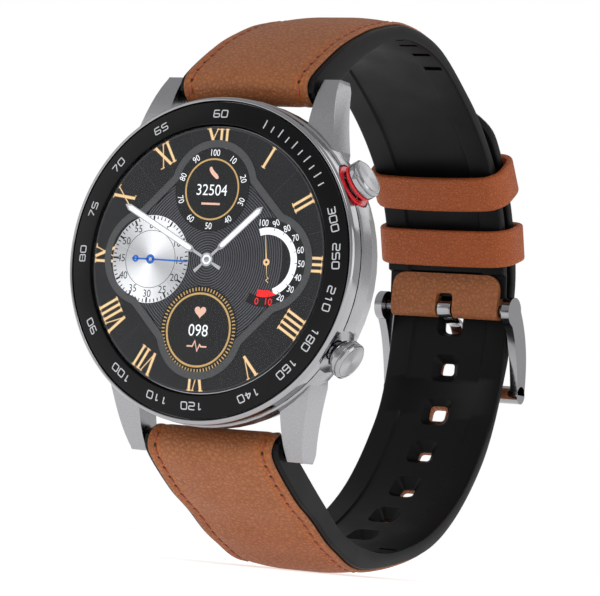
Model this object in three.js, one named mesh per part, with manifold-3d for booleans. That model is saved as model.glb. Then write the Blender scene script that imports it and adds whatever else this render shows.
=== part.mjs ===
// Round smartwatch on a leather-faced strap, shown buckled in its worn shape.
// Millimetres. The dial faces -Y, +Z points to twelve o'clock and +X to three o'clock.
// Origin: the middle of the rear sensor window's outer face.
import * as THREE from "three";
import { mergeVertices } from "three/addons/utils/BufferGeometryUtils.js";
import Module from "manifold-3d";

const wasm = await Module();
wasm.setup();

// ---------------------------------------------------------------- driving dimensions
const seatGap = 0.3; // between pieces that rest on each other
const fineGap = 0.2; // between small pieces that run in each other
const roundSides = 60; // facets of the large turned pieces
const panelSides = 48; // facets of the display panel
const smallSides = 16; // facets of the small turned pieces

const caseDepth = 12; // front glass to sensor window
const caseRadius = 23.2; // widest part of the mid case
const caseWall = 3.0; // mid case wall
const upperRingInset = 0.2; // the upper ring is this much smaller than the mid case
const upperRingWall = 0.6; // thin rim that stands round the bezel
const upperRingHeight = 2.2; // front of the rim to the seam with the mid case
const rimDrop = 0.6; // rim below the glass
const bezelWidth = 3.2; // black sloped ring
const bezelSlope = 0.55; // fall of the bezel from the glass to its outer edge
const bezelThickness = 0.9;
const glassThickness = 0.5;
const ledgeWidth = 0.9; // ledge that carries the glass
const backTaper = 0.7; // mid case narrows by this towards the wrist
const backCoverDepth = 3.1; // mid case seam to sensor window
const backCoverWall = 1.0; // how thick the cover is at its edge
const edgeChamfer = 0.25; // on the glass and the mid case
const rimChamfer = [0.15, 0.1, 0.4]; // the rim's outer edge: inwards, then two steps down
const bezelDrop = 0.05; // bezel's inner edge below the glass
const bandFlat = 2.6; // straight part of the mid case's side
const backCoverInset = 0.5; // back cover inside the tapered mid case
const crownDepth = 0.45; // back cover's crown below the sensor window
const crownSteps = [[1.6, 1.4], [6, 0.4]]; // the crown's bends: inwards from the edge, and their depth
const gasketWidth = 0.7;
const gasketHeight = 0.4;

const cableSlotSize = [8, 2]; // in the inner frame
const cableSlotInset = 3;
const displayThickness = 1.7;
const innerFrameThickness = 0.4;
const boardThickness = 0.8;
const batteryWidth = 23;
const boardFlat = 2.5; // flat cut on the board above the battery
const batteryHeight = 21;
const batteryCorner = 2.5;
const motorLength = 8;
const motorMaxRadius = 1.5;
const motorShift = 0.5; // off the middle
const speakerWidth = 9;
const speakerHeight = 3.4;
const windowRadius = 8;
const windowThickness = 1.2;
const contactRadius = 1.0;
const contactSpacing = 5.2;
const contactOffset = 12.2; // below the middle
const screwHeadRadius = 1.3;
const screwRadius = 0.55;
const screwLength = 3.2;
const screwHeadDepth = 1.9; // head seat in front of the sensor window
const screwHeadHeight = 0.6;
const screwSlotWidth = 0.3;
const screwSlotDepth = 0.3;
const bossRadius = 1.7;

const buttonAngles = [60, 120]; // degrees clockwise from twelve o'clock
const buttonAxisFromFront = 4.4;
const buttonRadius = 2.75;
const buttonHeadHeight = 1.4;
const buttonNeckRadius = 2.1;
const buttonProud = 2.4; // outer face beyond the mid case
const buttonTravel = 0.4;
const stemRadius = 0.7;
const bushWall = 0.5;
const buttonPocketRadius = 3.4;
const buttonPocketDepth = 0.9;
const switchDepth = 1.4;
const switchInset = 1.8; // switch front inside the case wall
const switchHalf = [1.3, 0.8];
const buttonChamfer = 0.35;
const bushProud = 0.4; // bush beyond the pocket's floor
const pressRoom = 0.15; // left over at the end of a press
const stemStep = 0.5; // seal's place on the bush
const sealGrooveHeight = 0.6;
const sealGrooveDepth = 0.3;
const sealSize = [0.2, 0.36]; // into the bush, along the stem
const clipInset = 0.55; // inside the case wall
const clipThickness = 0.35;
const clipRim = 0.9;
const clipBite = 0.2; // clip groove's depth in the stem
const footRingHeight = 0.7;
const capRingDepth = 0.6; // from under the head

const lugGap = 23; // between the inner faces of a pair of lugs
const lugReach = 3.65; // lug tip beyond the widest part of the case
const lugRootShare = 0.72; // lug roots, as a share of the case's bore
const lugTipFront = 8.3; // lug tip behind the glass
const lugTipBack = 2.2; // lug tip's back, behind the spring bar
const lugShoulder = [1.4, 7.3]; // depth, and distance from the tip, where the front slope starts
const lugBow = [2.5, 2.6]; // the front slope's bend
const lugTipRound = [0.3, 0.2, 0.4, 1.4];
const lugBellyReach = 6;
const lugFlare = 10.5; // length over which the lug widens
const lugTipWidth = 2.5;
const lugRootWidth = 5.0;
const barFromTip = 1.65; // spring bar centre in from the lug tip
const barFromBack = 3.0; // spring bar centre in front of the sensor window
const barRadius = 0.9;
const barTipRadius = 0.45;
const lugHoleDepth = 1.3;
const releaseTravel = 1.2;
const sleeveEnd = 5.8; // open end of the spring bar's tube
const springStart = -1;
const springLength = 3.3;
const springLead = 0.7;
const leverX = 8.4;
const leverRadius = 0.5;
const leverProud = 0.9;
const leverSlot = [6.2, 9.3]; // along the bar
const leverSlotHalf = 0.9;

const strapWidth = 21.8; // at the lugs
const strapBackWidth = 20.5; // at the buckle
const strapEndRadius = 2.0;
const strapHead = [[0.6, -0.6], [0.1, 1.7]]; // outer face at the roll: in front of it, and out from the bar
const tailClear = 6; // last thickness station this far from the end
const leatherThickness = 0.9;
const leatherInset = 0.8; // leather edge in from the lining edge
const bondGap = 0.1; // leather to lining
// the short strap's inner face below the top of the loop, along it
const shortDrops = [5.2, 1.0, 1.8, 7.9, 14.1];
const shortRises = [15.1, 7.3]; // and above the buckle bar, near the buckle
const shortEndRise = 1.8; // its end above the buckle bar
// the long strap's inner face above the foot of the loop
const longRises = [6.4, 1.9, 1.0, 3.9, 9.9, 18.1, 26.6];
// shares of the short strap that the tail passes over
const tailPlaces = [1, 0.94, 0.85, 0.76, 0.67, 0.585];
const loopTop = 37.2; // inner face at the top of the loop
const loopBottom = 38.1; // inner face at the bottom of the loop
const loopBack = 61.8; // inner face at the buckle
const tailLength = 36.5; // long strap past the buckle bar
const holePitch = 7.4;
const holeCount = 7;
const holeWidth = 3.8;
const holeHeight = 4.0;

const keeperLength = 5.8;
const keeperWall = 1.0;
const keeperGap = 0.45;
const keeperHeights = [11.2, 19.7]; // fixed keeper, free keeper, above the middle
const tabLength = 5.6;
const tabThickness = 0.8;

const buckleBarRadius = 0.75;
const buckleArmThickness = 1.3;
const buckleArmGap = 0.4; // strap edge to arm
const armFrontBend = [2.4, 3.4];
const armBackBend = [2.2, 5.0];
const armRoots = [0.4, 0.6, 0.2];
const barEndCover = 0.4; // metal left over the bar's ends
const farBarSwell = 0.2;
const buckleStrapDepth = 2.0; // long strap's lining at the far bar
const buckleReach = 12; // buckle bar to far bar
const farBarRadius = 1.2;
const armBossRadius = 2.3;
const tongueWidth = 2.3;
const tongueThickness = 1.0;
const tongueRootWall = 0.5; // metal of the tongue's eye round the bar

// ---------------------------------------------------------------- derived places
const frontY = -caseDepth;
const upperRingFrontY = frontY + rimDrop;
const upperRingBackY = upperRingFrontY + upperRingHeight;
const midFrontY = upperRingBackY + seatGap;
const midBackY = -backCoverDepth - seatGap;
const caseBore = caseRadius - caseWall;
const upperRingRadius = caseRadius - upperRingInset;
const bezelOuter = upperRingRadius - upperRingWall - fineGap;
const bezelInner = bezelOuter - bezelWidth;
const glassRadius = bezelInner - seatGap;
const glassBackY = frontY + glassThickness;
const ledgeBore = glassRadius - ledgeWidth;
const displayFrontY = glassBackY + seatGap;
const displayRadius = ledgeBore - seatGap;
const innerFrameY = displayFrontY + displayThickness + seatGap;
const boardY = innerFrameY + innerFrameThickness + seatGap;
const batteryFrontY = boardY + boardThickness + seatGap;
const coverFrontY = -backCoverDepth;
const coverRadius = caseRadius - backTaper - backCoverInset;
const batteryBackY = coverFrontY - seatGap;
const buttonY = frontY + buttonAxisFromFront;
const buttonFace = caseRadius + buttonProud;
const pocketFloor = caseRadius - buttonPocketDepth;
const switchOuter = caseBore - switchInset;
const boardRadius = switchOuter - switchDepth - seatGap;
const lugTipZ = caseRadius + lugReach;
const barZ = lugTipZ - barFromTip;
const barY = -barFromBack;
const lugInnerX = lugGap / 2;
const buckleBarZ = 1.5;
const buckleBarY = loopBack + tabThickness + 0.65;

// ---------------------------------------------------------------- solid helpers
function toSolid(geometry) {
  const bare = geometry.index ? geometry.clone() : geometry;
  bare.deleteAttribute("normal");
  bare.deleteAttribute("uv");
  const merged = mergeVertices(bare, 1e-4);
  const positions = merged.attributes.position.array;
  const triangles = Uint32Array.from(merged.index.array);
  let volume = 0;
  for (let i = 0; i < triangles.length; i += 3) {
    const [a, b, c] = [0, 1, 2].map((k) => new THREE.Vector3().fromArray(positions, 3 * triangles[i + k]));
    volume += a.dot(b.cross(c));
  }
  if (volume < 0) triangles.reverse();
  const vertProperties = Float32Array.from(positions);
  const mesh = new wasm.Mesh({ numProp: 3, vertProperties, triVerts: triangles });
  mesh.merge();
  return new wasm.Manifold(mesh);
}

function toGeometry(solid) {
  const mesh = solid.getMesh();
  const geometry = new THREE.BufferGeometry();
  geometry.setAttribute("position", new THREE.BufferAttribute(Float32Array.from(mesh.vertProperties), 3));
  geometry.setIndex([...mesh.triVerts]);
  return geometry;
}

const joined = (...solids) => solids.reduce((sum, solid) => sum.add(solid));
const cut = (solid, ...tools) => tools.reduce((left, tool) => left.subtract(tool), solid);

// A closed outline of [radius, y] pairs turned about the case axis.
function turned(outline, sides = roundSides) {
  const closed = [...outline, outline[0]].map(([r, y]) => new THREE.Vector2(r, y));
  return toSolid(new THREE.LatheGeometry(closed, sides));
}

// A solid disc or stepped plug: an open outline that starts and ends on the axis.
function turnedPlug(outline, sides = roundSides) {
  return toSolid(new THREE.LatheGeometry(outline.map(([r, y]) => new THREE.Vector2(r, y)), sides));
}

const disc = (radius, y0, y1, sides = roundSides) =>
  turnedPlug([[0, y0], [radius, y0], [radius, y1], [0, y1]], sides);

const ring = (inner, outer, y0, y1, sides = roundSides) =>
  turned([[inner, y0], [outer, y0], [outer, y1], [inner, y1]], sides);

function box(x, y, z) {
  const geometry = new THREE.BoxGeometry(x[1] - x[0], y[1] - y[0], z[1] - z[0]);
  geometry.translate((x[0] + x[1]) / 2, (y[0] + y[1]) / 2, (z[0] + z[1]) / 2);
  return toSolid(geometry);
}

// An outline drawn in (y, z), pushed out along X between two x values.
function sideExtrusion(shape, x0, x1, curveSegments = 10) {
  const geometry = new THREE.ExtrudeGeometry(shape, { depth: x1 - x0, bevelEnabled: false, curveSegments });
  const toFrame = new THREE.Matrix4().makeBasis(
    new THREE.Vector3(0, 1, 0),
    new THREE.Vector3(0, 0, 1),
    new THREE.Vector3(1, 0, 0),
  );
  return toSolid(geometry.applyMatrix4(toFrame.setPosition(x0, 0, 0)));
}

// An outline drawn in (x, y), pushed up along Z.
function planExtrusion(shape, z0, z1) {
  const geometry = new THREE.ExtrudeGeometry(shape, { depth: z1 - z0, bevelEnabled: false });
  return toSolid(geometry.translate(0, 0, z0));
}

// A round bar along X.
function barX(radius, y, z, x0, x1, sides = smallSides) {
  const geometry = new THREE.CylinderGeometry(radius, radius, x1 - x0, sides);
  geometry.rotateZ(Math.PI / 2).translate((x0 + x1) / 2, y, z);
  return toSolid(geometry);
}

// A round bar along Y.
const pinY = (radius, x, z, y0, y1, sides = smallSides) => disc(radius, y0, y1, sides).translate([x, 0, z]);

// Turns a solid built about the Y axis so that its Y runs outwards along a button's axis.
function alongButton(solid, angleDegrees) {
  const clock = THREE.MathUtils.degToRad(angleDegrees);
  const outward = new THREE.Vector3(Math.sin(clock), 0, Math.cos(clock));
  const side = new THREE.Vector3(Math.cos(clock), 0, -Math.sin(clock));
  const forward = new THREE.Vector3().crossVectors(side, outward);
  const place = new THREE.Matrix4().makeBasis(side, outward, forward).setPosition(0, buttonY, 0);
  return solid.transform(place.elements);
}

// ---------------------------------------------------------------- materials and the tree
const steel = { color: 0xc9cbce, metalness: 1, roughness: 0.18 };
const brushedSteel = { color: 0xb9bbbd, metalness: 1, roughness: 0.38 };
const blackCeramic = { color: 0x0b0b0d, metalness: 0, roughness: 0.15 };
const clearGlass = { color: 0x101318, metalness: 0, roughness: 0.04 };
const displayBlack = { color: 0x050608, metalness: 0, roughness: 0.3 };
const plasticBlack = { color: 0x1a1b1d, metalness: 0, roughness: 0.5 };
const rubberBlack = { color: 0x232326, metalness: 0, roughness: 0.65 };
const boardGreen = { color: 0x14402c, metalness: 0, roughness: 0.55 };
const cellSilver = { color: 0x9a9da1, metalness: 0.6, roughness: 0.45 };
const goldContact = { color: 0xd2a95a, metalness: 1, roughness: 0.3 };
const redEnamel = { color: 0xc41622, metalness: 0.1, roughness: 0.3 };
const brownLeather = { color: 0x8d5638, metalness: 0, roughness: 0.62 };

const group = new THREE.Group();

function addPiece(name, solid, finish) {
  const mesh = new THREE.Mesh(toGeometry(solid), new THREE.MeshStandardMaterial(finish));
  mesh.name = name;
  group.add(mesh);
}

// ---------------------------------------------------------------- front: glass, bezel, display
function addFront() {
  const glass = turnedPlug([
    [0, frontY],
    [glassRadius - edgeChamfer, frontY],
    [glassRadius, frontY + edgeChamfer],
    [glassRadius, glassBackY],
    [0, glassBackY],
  ]);
  addPiece("front_glass", glass, clearGlass);

  const bezelTopY = frontY + bezelDrop;
  const bezelEdgeY = bezelTopY + bezelSlope;
  const bezelBackY = bezelEdgeY + bezelThickness / 2;
  const bezel = turned([
    [bezelInner, bezelTopY],
    [bezelOuter, bezelEdgeY],
    [bezelOuter, bezelBackY],
    [bezelInner, bezelBackY],
  ]);
  addPiece("bezel_ring", bezel, blackCeramic);

  const glassSeatY = glassBackY + fineGap;
  const bezelSeatY = bezelBackY + fineGap;
  const seatStepRadius = (glassRadius + bezelInner) / 2;
  const rimInner = upperRingRadius - upperRingWall;
  const upperRing = turned([
    [rimInner, upperRingFrontY],
    [upperRingRadius - rimChamfer[0], upperRingFrontY + rimChamfer[1]],
    [upperRingRadius, upperRingFrontY + rimChamfer[2]],
    [upperRingRadius, upperRingBackY],
    [ledgeBore, upperRingBackY],
    [ledgeBore, glassSeatY],
    [seatStepRadius, glassSeatY],
    [seatStepRadius, bezelSeatY],
    [rimInner, bezelSeatY],
  ]);
  const pockets = buttonAngles.map((angle) => buttonPocket(angle));
  addPiece("upper_case_ring", cut(upperRing, ...pockets), steel);

  const panel = disc(displayRadius, displayFrontY, displayFrontY + displayThickness, panelSides);
  addPiece("display_panel", panel, displayBlack);
  const frameRadius = ledgeBore;
  const frame = disc(frameRadius, innerFrameY, innerFrameY + innerFrameThickness, 48);
  const [slotHalf, slotFoot] = [cableSlotSize[0] / 2, cableSlotInset - frameRadius];
  const slotHeights = [slotFoot, slotFoot + cableSlotSize[1]];
  const cableSlot = box([-slotHalf, slotHalf], [innerFrameY - 1, innerFrameY + 1], slotHeights);
  addPiece("inner_frame", cut(frame, cableSlot), plasticBlack);
}

function buttonPocket(angle) {
  const pocket = disc(buttonPocketRadius, pocketFloor, buttonFace + 1, smallSides);
  return alongButton(pocket, angle);
}

// ---------------------------------------------------------------- mid case with lugs
const cornerSigns = [[1, 1], [-1, 1], [-1, -1], [1, -1]];
const bossCentre = (caseBore - fineGap - bossRadius / 2) / Math.SQRT2;

function lugSolid(sideX, sideZ) {
  const tipFrontY = frontY + lugTipFront;
  const tipBackY = barY + lugTipBack;
  const rootFrontY = midFrontY + fineGap;
  const [roundFront, roundBack, roundUpper, roundLower] = lugTipRound;
  const profile = new THREE.Shape();
  const rootZ = caseBore * lugRootShare;
  profile.moveTo(rootFrontY, rootZ);
  profile.lineTo(rootFrontY + lugShoulder[0], lugTipZ - lugShoulder[1]);
  profile.quadraticCurveTo(rootFrontY + lugBow[0], lugTipZ - lugBow[1], tipFrontY, lugTipZ);
  profile.lineTo(tipBackY - roundFront, lugTipZ);
  profile.quadraticCurveTo(tipBackY + roundBack, lugTipZ - roundUpper, tipBackY, lugTipZ - roundLower);
  profile.quadraticCurveTo(midBackY + roundUpper, lugTipZ - lugBellyReach, midBackY, rootZ);
  const side = sideExtrusion(profile, lugInnerX, lugInnerX + lugRootWidth + 3, 6);

  const plan = new THREE.Shape();
  plan.moveTo(lugInnerX, rootZ - 1);
  plan.lineTo(lugInnerX, lugTipZ + 1);
  plan.lineTo(lugInnerX + lugTipWidth, lugTipZ + 1);
  plan.lineTo(lugInnerX + lugTipWidth + 0.1, lugTipZ - roundFront - roundBack);
  plan.lineTo(lugInnerX + lugRootWidth, lugTipZ - lugFlare);
  plan.lineTo(lugInnerX + lugRootWidth, rootZ - 1);
  const upright = new THREE.ExtrudeGeometry(plan, { depth: caseDepth * 2, bevelEnabled: false });
  upright.rotateX(Math.PI / 2).translate(0, caseDepth / 2, 0);
  const planSolid = toSolid(upright);
  const lug = side.intersect(planSolid);
  const flips = [sideX, 1, sideZ];
  return lug.scale(flips);
}

function addMidCase() {
  const band = turned([
    [caseBore, midFrontY],
    [caseRadius - edgeChamfer, midFrontY],
    [caseRadius, midFrontY + edgeChamfer],
    [caseRadius, midFrontY + bandFlat],
    [caseRadius - backTaper, midBackY],
    [caseBore, midBackY],
  ]);
  const lugs = cornerSigns.map(([sx, sz]) => lugSolid(sx, sz));
  const bosses = cornerSigns.map(([sx, sz]) =>
    pinY(bossRadius, sx * bossCentre, sz * bossCentre, midBackY - screwLength - 0.4, midBackY));
  const inside = disc(caseBore, midFrontY - 5, midBackY + 5);
  const coverSeat = disc(coverRadius + seatGap, midBackY, 5);
  const body = joined(cut(joined(band, ...lugs), inside, coverSeat), ...bosses);
  const bossHoles = cornerSigns.map(([sx, sz]) =>
    pinY(screwRadius + fineGap, sx * bossCentre, sz * bossCentre, midBackY - screwLength, midBackY + 1, 12));
  const pockets = buttonAngles.map((angle) => buttonPocket(angle));
  const stemBore = disc(stemRadius + fineGap + bushWall + fineGap, caseBore - 4, caseRadius + 2, smallSides);
  const bores = buttonAngles.map((angle) => alongButton(stemBore, angle));
  const reach = lugInnerX + lugHoleDepth;
  const barHoles = [barZ, -barZ].map((z) => barX(barTipRadius + fineGap, barY, z, -reach, reach, 12));
  addPiece("mid_case", cut(body, ...bossHoles, ...pockets, ...bores, ...barHoles), brushedSteel);
}

// ---------------------------------------------------------------- push buttons
function addButtons() {
  const bushInner = stemRadius + fineGap;
  const bushOuter = bushInner + bushWall;
  const bushTop = pocketFloor + bushProud;
  const bushFoot = caseBore + seatGap;
  const neckFoot = bushTop + buttonTravel + pressRoom;
  const headFoot = buttonFace - buttonHeadHeight;
  const stemEnd = switchOuter + buttonTravel + pressRoom;
  const sealY = bushFoot + stemStep;
  const clipY = caseBore - clipInset;
  ["upper", "lower"].forEach((which, index) => {
    const angle = buttonAngles[index];
    const button = turnedPlug([
      [0, stemEnd],
      [stemRadius, stemEnd],
      [stemRadius, neckFoot],
      [buttonNeckRadius, neckFoot],
      [buttonNeckRadius, headFoot],
      [buttonRadius, headFoot],
      [buttonRadius, buttonFace - buttonChamfer],
      [buttonRadius - buttonChamfer, buttonFace],
      [0, buttonFace],
    ], 28);
    const grooveEnds = [clipY - 0.1, clipY + clipThickness + 0.1];
    const clipGroove = ring(stemRadius - clipBite, stemRadius + clipBite, ...grooveEnds, smallSides);
    addPiece(`${which}_button`, alongButton(cut(button, clipGroove), angle), steel);
    const bush = ring(bushInner, bushOuter, bushFoot, bushTop, smallSides);
    const grooveOut = bushInner + sealGrooveDepth;
    const sealGroove = ring(bushInner - 0.1, grooveOut, sealY, sealY + sealGrooveHeight, smallSides);
    addPiece(`${which}_button_bush`, alongButton(cut(bush, sealGroove), angle), brushedSteel);
    const sealFoot = sealY + (sealGrooveHeight - sealSize[1]) / 2;
    const sealOut = bushInner + sealSize[0];
    const seal = ring(bushInner - 0.05, sealOut, sealFoot, sealFoot + sealSize[1], smallSides);
    addPiece(`${which}_button_seal`, alongButton(seal, angle), rubberBlack);
    const clip = ring(stemRadius - 0.05, stemRadius + clipRim, clipY, clipY + clipThickness, smallSides);
    const clipMouth = box([-0.5, 0.5], [clipY - 1, clipY + 1], [0, 3]);
    addPiece(`${which}_button_clip`, alongButton(cut(clip, clipMouth), angle), steel);
    const [switchX, switchZ] = switchHalf;
    const switchSpan = [switchOuter - switchDepth, switchOuter];
    const switchBody = box([-switchX, switchX], switchSpan, [-switchZ, switchZ]);
    addPiece(`${which}_button_switch`, alongButton(switchBody, angle), plasticBlack);
  });
  const [upperAngle] = buttonAngles;
  const ringInner = buttonNeckRadius + fineGap;
  const footEnds = [pocketFloor + fineGap, pocketFloor + footRingHeight];
  const footRing = ring(ringInner, buttonPocketRadius - seatGap, ...footEnds, 28);
  addPiece("upper_button_foot_ring", alongButton(footRing, upperAngle), redEnamel);
  const capRing = ring(ringInner, buttonRadius, headFoot - capRingDepth, headFoot - fineGap, 28);
  addPiece("upper_button_cap_ring", alongButton(capRing, upperAngle), redEnamel);
}

// ---------------------------------------------------------------- electronics
function addElectronics() {
  const board = disc(boardRadius, boardY, boardY + boardThickness, 40);
  const flatHeights = [boardRadius - boardFlat, 2 * boardRadius];
  const flat = box([-2 * boardRadius, 2 * boardRadius], [boardY - 1, boardY + 2], flatHeights);
  addPiece("main_board", cut(board, flat), boardGreen);

  const corner = batteryCorner;
  const [w, h] = [batteryWidth / 2, batteryHeight / 2];
  const outline = new THREE.Shape();
  outline.moveTo(-w + corner, -h);
  outline.lineTo(w - corner, -h);
  outline.quadraticCurveTo(w, -h, w, -h + corner);
  outline.lineTo(w, h - corner);
  outline.quadraticCurveTo(w, h, w - corner, h);
  outline.lineTo(-w + corner, h);
  outline.quadraticCurveTo(-w, h, -w, h - corner);
  outline.lineTo(-w, -h + corner);
  outline.quadraticCurveTo(-w, -h, -w + corner, -h);
  const depth = batteryBackY - batteryFrontY;
  const geometry = new THREE.ExtrudeGeometry(outline, { depth, bevelEnabled: false, curveSegments: 4 });
  geometry.rotateX(Math.PI / 2).translate(0, batteryBackY, 0);
  addPiece("battery", toSolid(geometry), cellSilver);

  const motorRadius = Math.min(motorMaxRadius, depth / 2 - 0.05);
  const motorZ = -(h + 2 * seatGap + motorRadius);
  const motorEnds = [-motorLength / 2 - motorShift, motorLength / 2 - motorShift];
  const motorY = (batteryFrontY + batteryBackY) / 2;
  addPiece("vibration_motor", barX(motorRadius, motorY, motorZ, ...motorEnds, 16), steel);
  const speakerX = [-speakerWidth / 2, speakerWidth / 2];
  const speakerFoot = h + seatGap;
  const speakerDepths = [batteryFrontY, batteryBackY - 2 * fineGap];
  const speaker = box(speakerX, speakerDepths, [speakerFoot, speakerFoot + speakerHeight]);
  addPiece("loudspeaker", speaker, plasticBlack);
}

// ---------------------------------------------------------------- back cover and sensor
function addBack() {
  const crownY = -crownDepth;
  const [outerBend, innerBend] = crownSteps;
  const bore = windowRadius + seatGap;
  const cover = turned([
    [bore, coverFrontY],
    [coverRadius, coverFrontY],
    [coverRadius, coverFrontY + backCoverWall * 0.4],
    [coverRadius - outerBend[0], coverFrontY + outerBend[1]],
    [coverRadius - innerBend[0], crownY - innerBend[1]],
    [bore + 1, crownY],
    [bore, crownY],
  ]);
  const grooveInner = caseBore + seatGap;
  const grooveOuter = grooveInner + gasketWidth + 2 * fineGap;
  const groove = ring(grooveInner, grooveOuter, coverFrontY - 1, coverFrontY + gasketHeight + fineGap);
  const gasketBack = coverFrontY + gasketHeight;
  const gasket = ring(grooveInner + fineGap, grooveOuter - fineGap, coverFrontY, gasketBack);
  const headFloor = -screwHeadDepth;
  const headBack = headFloor + fineGap + screwHeadHeight;
  const screwHoles = cornerSigns.flatMap(([sx, sz]) => [
    pinY(screwRadius + fineGap, sx * bossCentre, sz * bossCentre, coverFrontY - 1, 1, 12),
    pinY(screwHeadRadius + fineGap, sx * bossCentre, sz * bossCentre, headFloor, 1),
  ]);
  const contactXs = [-contactSpacing / 2, contactSpacing / 2];
  const contactHoles = contactXs.map((x) =>
    pinY(contactRadius + fineGap, x, -contactOffset, coverFrontY - 1, 1));
  addPiece("back_cover", cut(cover, groove, ...screwHoles, ...contactHoles), plasticBlack);
  addPiece("back_gasket", gasket, rubberBlack);

  const screwTipY = midBackY - screwLength + fineGap;
  cornerSigns.forEach(([sx, sz], index) => {
    const screw = turnedPlug([
      [0, screwTipY],
      [screwRadius, screwTipY],
      [screwRadius, headFloor + fineGap],
      [screwHeadRadius, headFloor + fineGap],
      [screwHeadRadius, headBack],
      [0, headBack],
    ], 16);
    const slotHalf = screwSlotWidth / 2;
    const slot = box([-1, 1], [headBack - screwSlotDepth, headFloor + 2], [-slotHalf, slotHalf]);
    const place = [sx * bossCentre, 0, sz * bossCentre];
    addPiece(`back_screw_${index + 1}`, cut(screw, slot).translate(place), steel);
  });
  contactXs.forEach((x, index) => {
    const contact = pinY(contactRadius, x, -contactOffset, coverFrontY + 0.2, crownY - 0.15);
    addPiece(`charging_contact_${index + 1}`, contact, goldContact);
  });

  const window = turnedPlug([
    [0, -windowThickness],
    [windowRadius, -windowThickness],
    [windowRadius, crownY],
    [windowRadius - 0.8, 0],
    [0, 0],
  ], 48);
  addPiece("sensor_window", window, clearGlass);
  const sensorY = -windowThickness - seatGap;
  addPiece("sensor_board", disc(windowRadius - 0.4, sensorY - boardThickness, sensorY, 36), boardGreen);
}

// ---------------------------------------------------------------- lug spring bars
function addSpringBars() {
  const tubeEnd = lugInnerX - seatGap;
  const rodInnerEnd = springStart + springLength - 0.1 + releaseTravel;
  const tipEnd = lugInnerX + lugHoleDepth - seatGap;
  [["upper", barZ], ["lower", -barZ]].forEach(([which, z]) => {
    const tube = barX(barRadius, barY, z, -tubeEnd, sleeveEnd);
    const sleeve = joined(tube, barX(barTipRadius, barY, z, -tipEnd, 0));
    const sleeveBore = barX(barTipRadius + 0.15, barY, z, springStart - 1, sleeveEnd + 1);
    addPiece(`${which}_spring_bar`, cut(sleeve, sleeveBore), steel);
    const rod = barX(barTipRadius - 0.05, barY, z, rodInnerEnd, tipEnd);
    const lever = pinY(leverRadius, leverX, z, barY, barY + strapEndRadius + leverProud, 12);
    addPiece(`${which}_release_pin`, joined(rod, lever), steel);
    const springFoot = springStart - springLead;
    const spring = barX(barTipRadius - 0.1, barY, z, springFoot, springFoot + springLength, 12);
    addPiece(`${which}_release_spring`, spring, steel);
  });
}

// ---------------------------------------------------------------- strap
const leatherStack = bondGap + leatherThickness;
const layerGap = 0.35; // tail to the strap under it
const buckleLiningThickness = 1.7;
const shortStations = [[6, 3.8], [12, 3.1], [18, 2.5], [26, 2.0], [36, 1.8], [48, buckleLiningThickness]];
const longStations = [[6, 3.9], [12, 3.2], [20, 2.8], [30, 2.75], [50, 2.2], [68, 1.9], [84, 1.6]];
const strapSteps = 34;

const at = (y, z) => new THREE.Vector2(y, z);

// Points on a face of a strap half: a place on the inner curve, moved out along its normal.
function standOff(curve, fraction, distance, side) {
  const point = curve.getPointAt(fraction);
  const along = curve.getTangentAt(fraction);
  return at(point.x - side * along.y * distance, point.y + side * along.x * distance);
}

const innerStart = at(barY + strapEndRadius, barZ);
const inLoop = (share, z) => at(share * loopBack, z);
const shortInner = new THREE.SplineCurve([
  innerStart,
  inLoop(0.1327, loopTop - shortDrops[0]),
  inLoop(0.2783, loopTop - shortDrops[1]),
  inLoop(0.4045, loopTop),
  inLoop(0.5518, loopTop - shortDrops[2]),
  inLoop(0.7314, loopTop - shortDrops[3]),
  inLoop(0.8544, loopTop - shortDrops[4]),
  inLoop(0.9353, buckleBarZ + shortRises[0]),
  inLoop(0.9854, buckleBarZ + shortRises[1]),
  at(loopBack, buckleBarZ + shortEndRise),
]);
const shortStackTop = buckleLiningThickness + leatherStack;

function longInnerCurve() {
  const lowerRun = [
    at(innerStart.x, -innerStart.y),
    inLoop(0.1456, longRises[0] - loopBottom),
    inLoop(0.2767, longRises[1] - loopBottom),
    inLoop(0.445, -loopBottom),
    inLoop(0.5906, longRises[2] - loopBottom),
    inLoop(0.7282, longRises[3] - loopBottom),
    inLoop(0.8673, longRises[4] - loopBottom),
    inLoop(0.9693, longRises[5] - loopBottom),
    inLoop(1.0291, longRises[6] - loopBottom),
  ];
  const meet = shortStackTop + layerGap;
  const tailRun = tailPlaces.map((f) => standOff(shortInner, f, meet, 1));
  return new THREE.SplineCurve([...lowerRun, ...tailRun]);
}
const longInner = longInnerCurve();

function strapHalf(inner, side, stations, lastFraction) {
  const length = inner.getLength();
  const head = [
    ...strapHead.map(([proud, out]) => at(barY - strapEndRadius - proud, side * (barZ + out))),
  ];
  const reach = stations.filter(([distance]) => distance < lastFraction * length - tailClear);
  const lastThickness = stations[stations.length - 1][1];
  const lastStretch = spread(reach[reach.length - 1][0] / length, lastFraction, 6);
  const outer = new THREE.SplineCurve([
    ...head,
    ...reach.map(([distance, thickness]) => standOff(inner, distance / length, thickness, side)),
    ...lastStretch.map((f) => standOff(inner, f, lastThickness, side)),
  ]);
  const innerFace = spread(0, lastFraction, strapSteps, true).map((f) => inner.getPointAt(f));
  const outerFace = spread(0, 1, strapSteps, true).map((f) => outer.getPointAt(f));
  return { inner, outer, innerFace, outerFace, side, length };
}

// Even steps from a to b: b is always in, a only when asked for.
function spread(a, b, count, withStart = false) {
  const steps = Array.from({ length: count }, (_, i) => a + ((b - a) * (i + 1)) / count);
  return withStart ? [a, ...steps] : steps;
}

function offsetFace(points, side, distance) {
  return points.map((point, i) => {
    const before = points[Math.max(i - 1, 0)];
    const after = points[Math.min(i + 1, points.length - 1)];
    const along = after.clone().sub(before).normalize();
    return at(point.x - side * along.y * distance, point.y + side * along.x * distance);
  });
}

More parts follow.
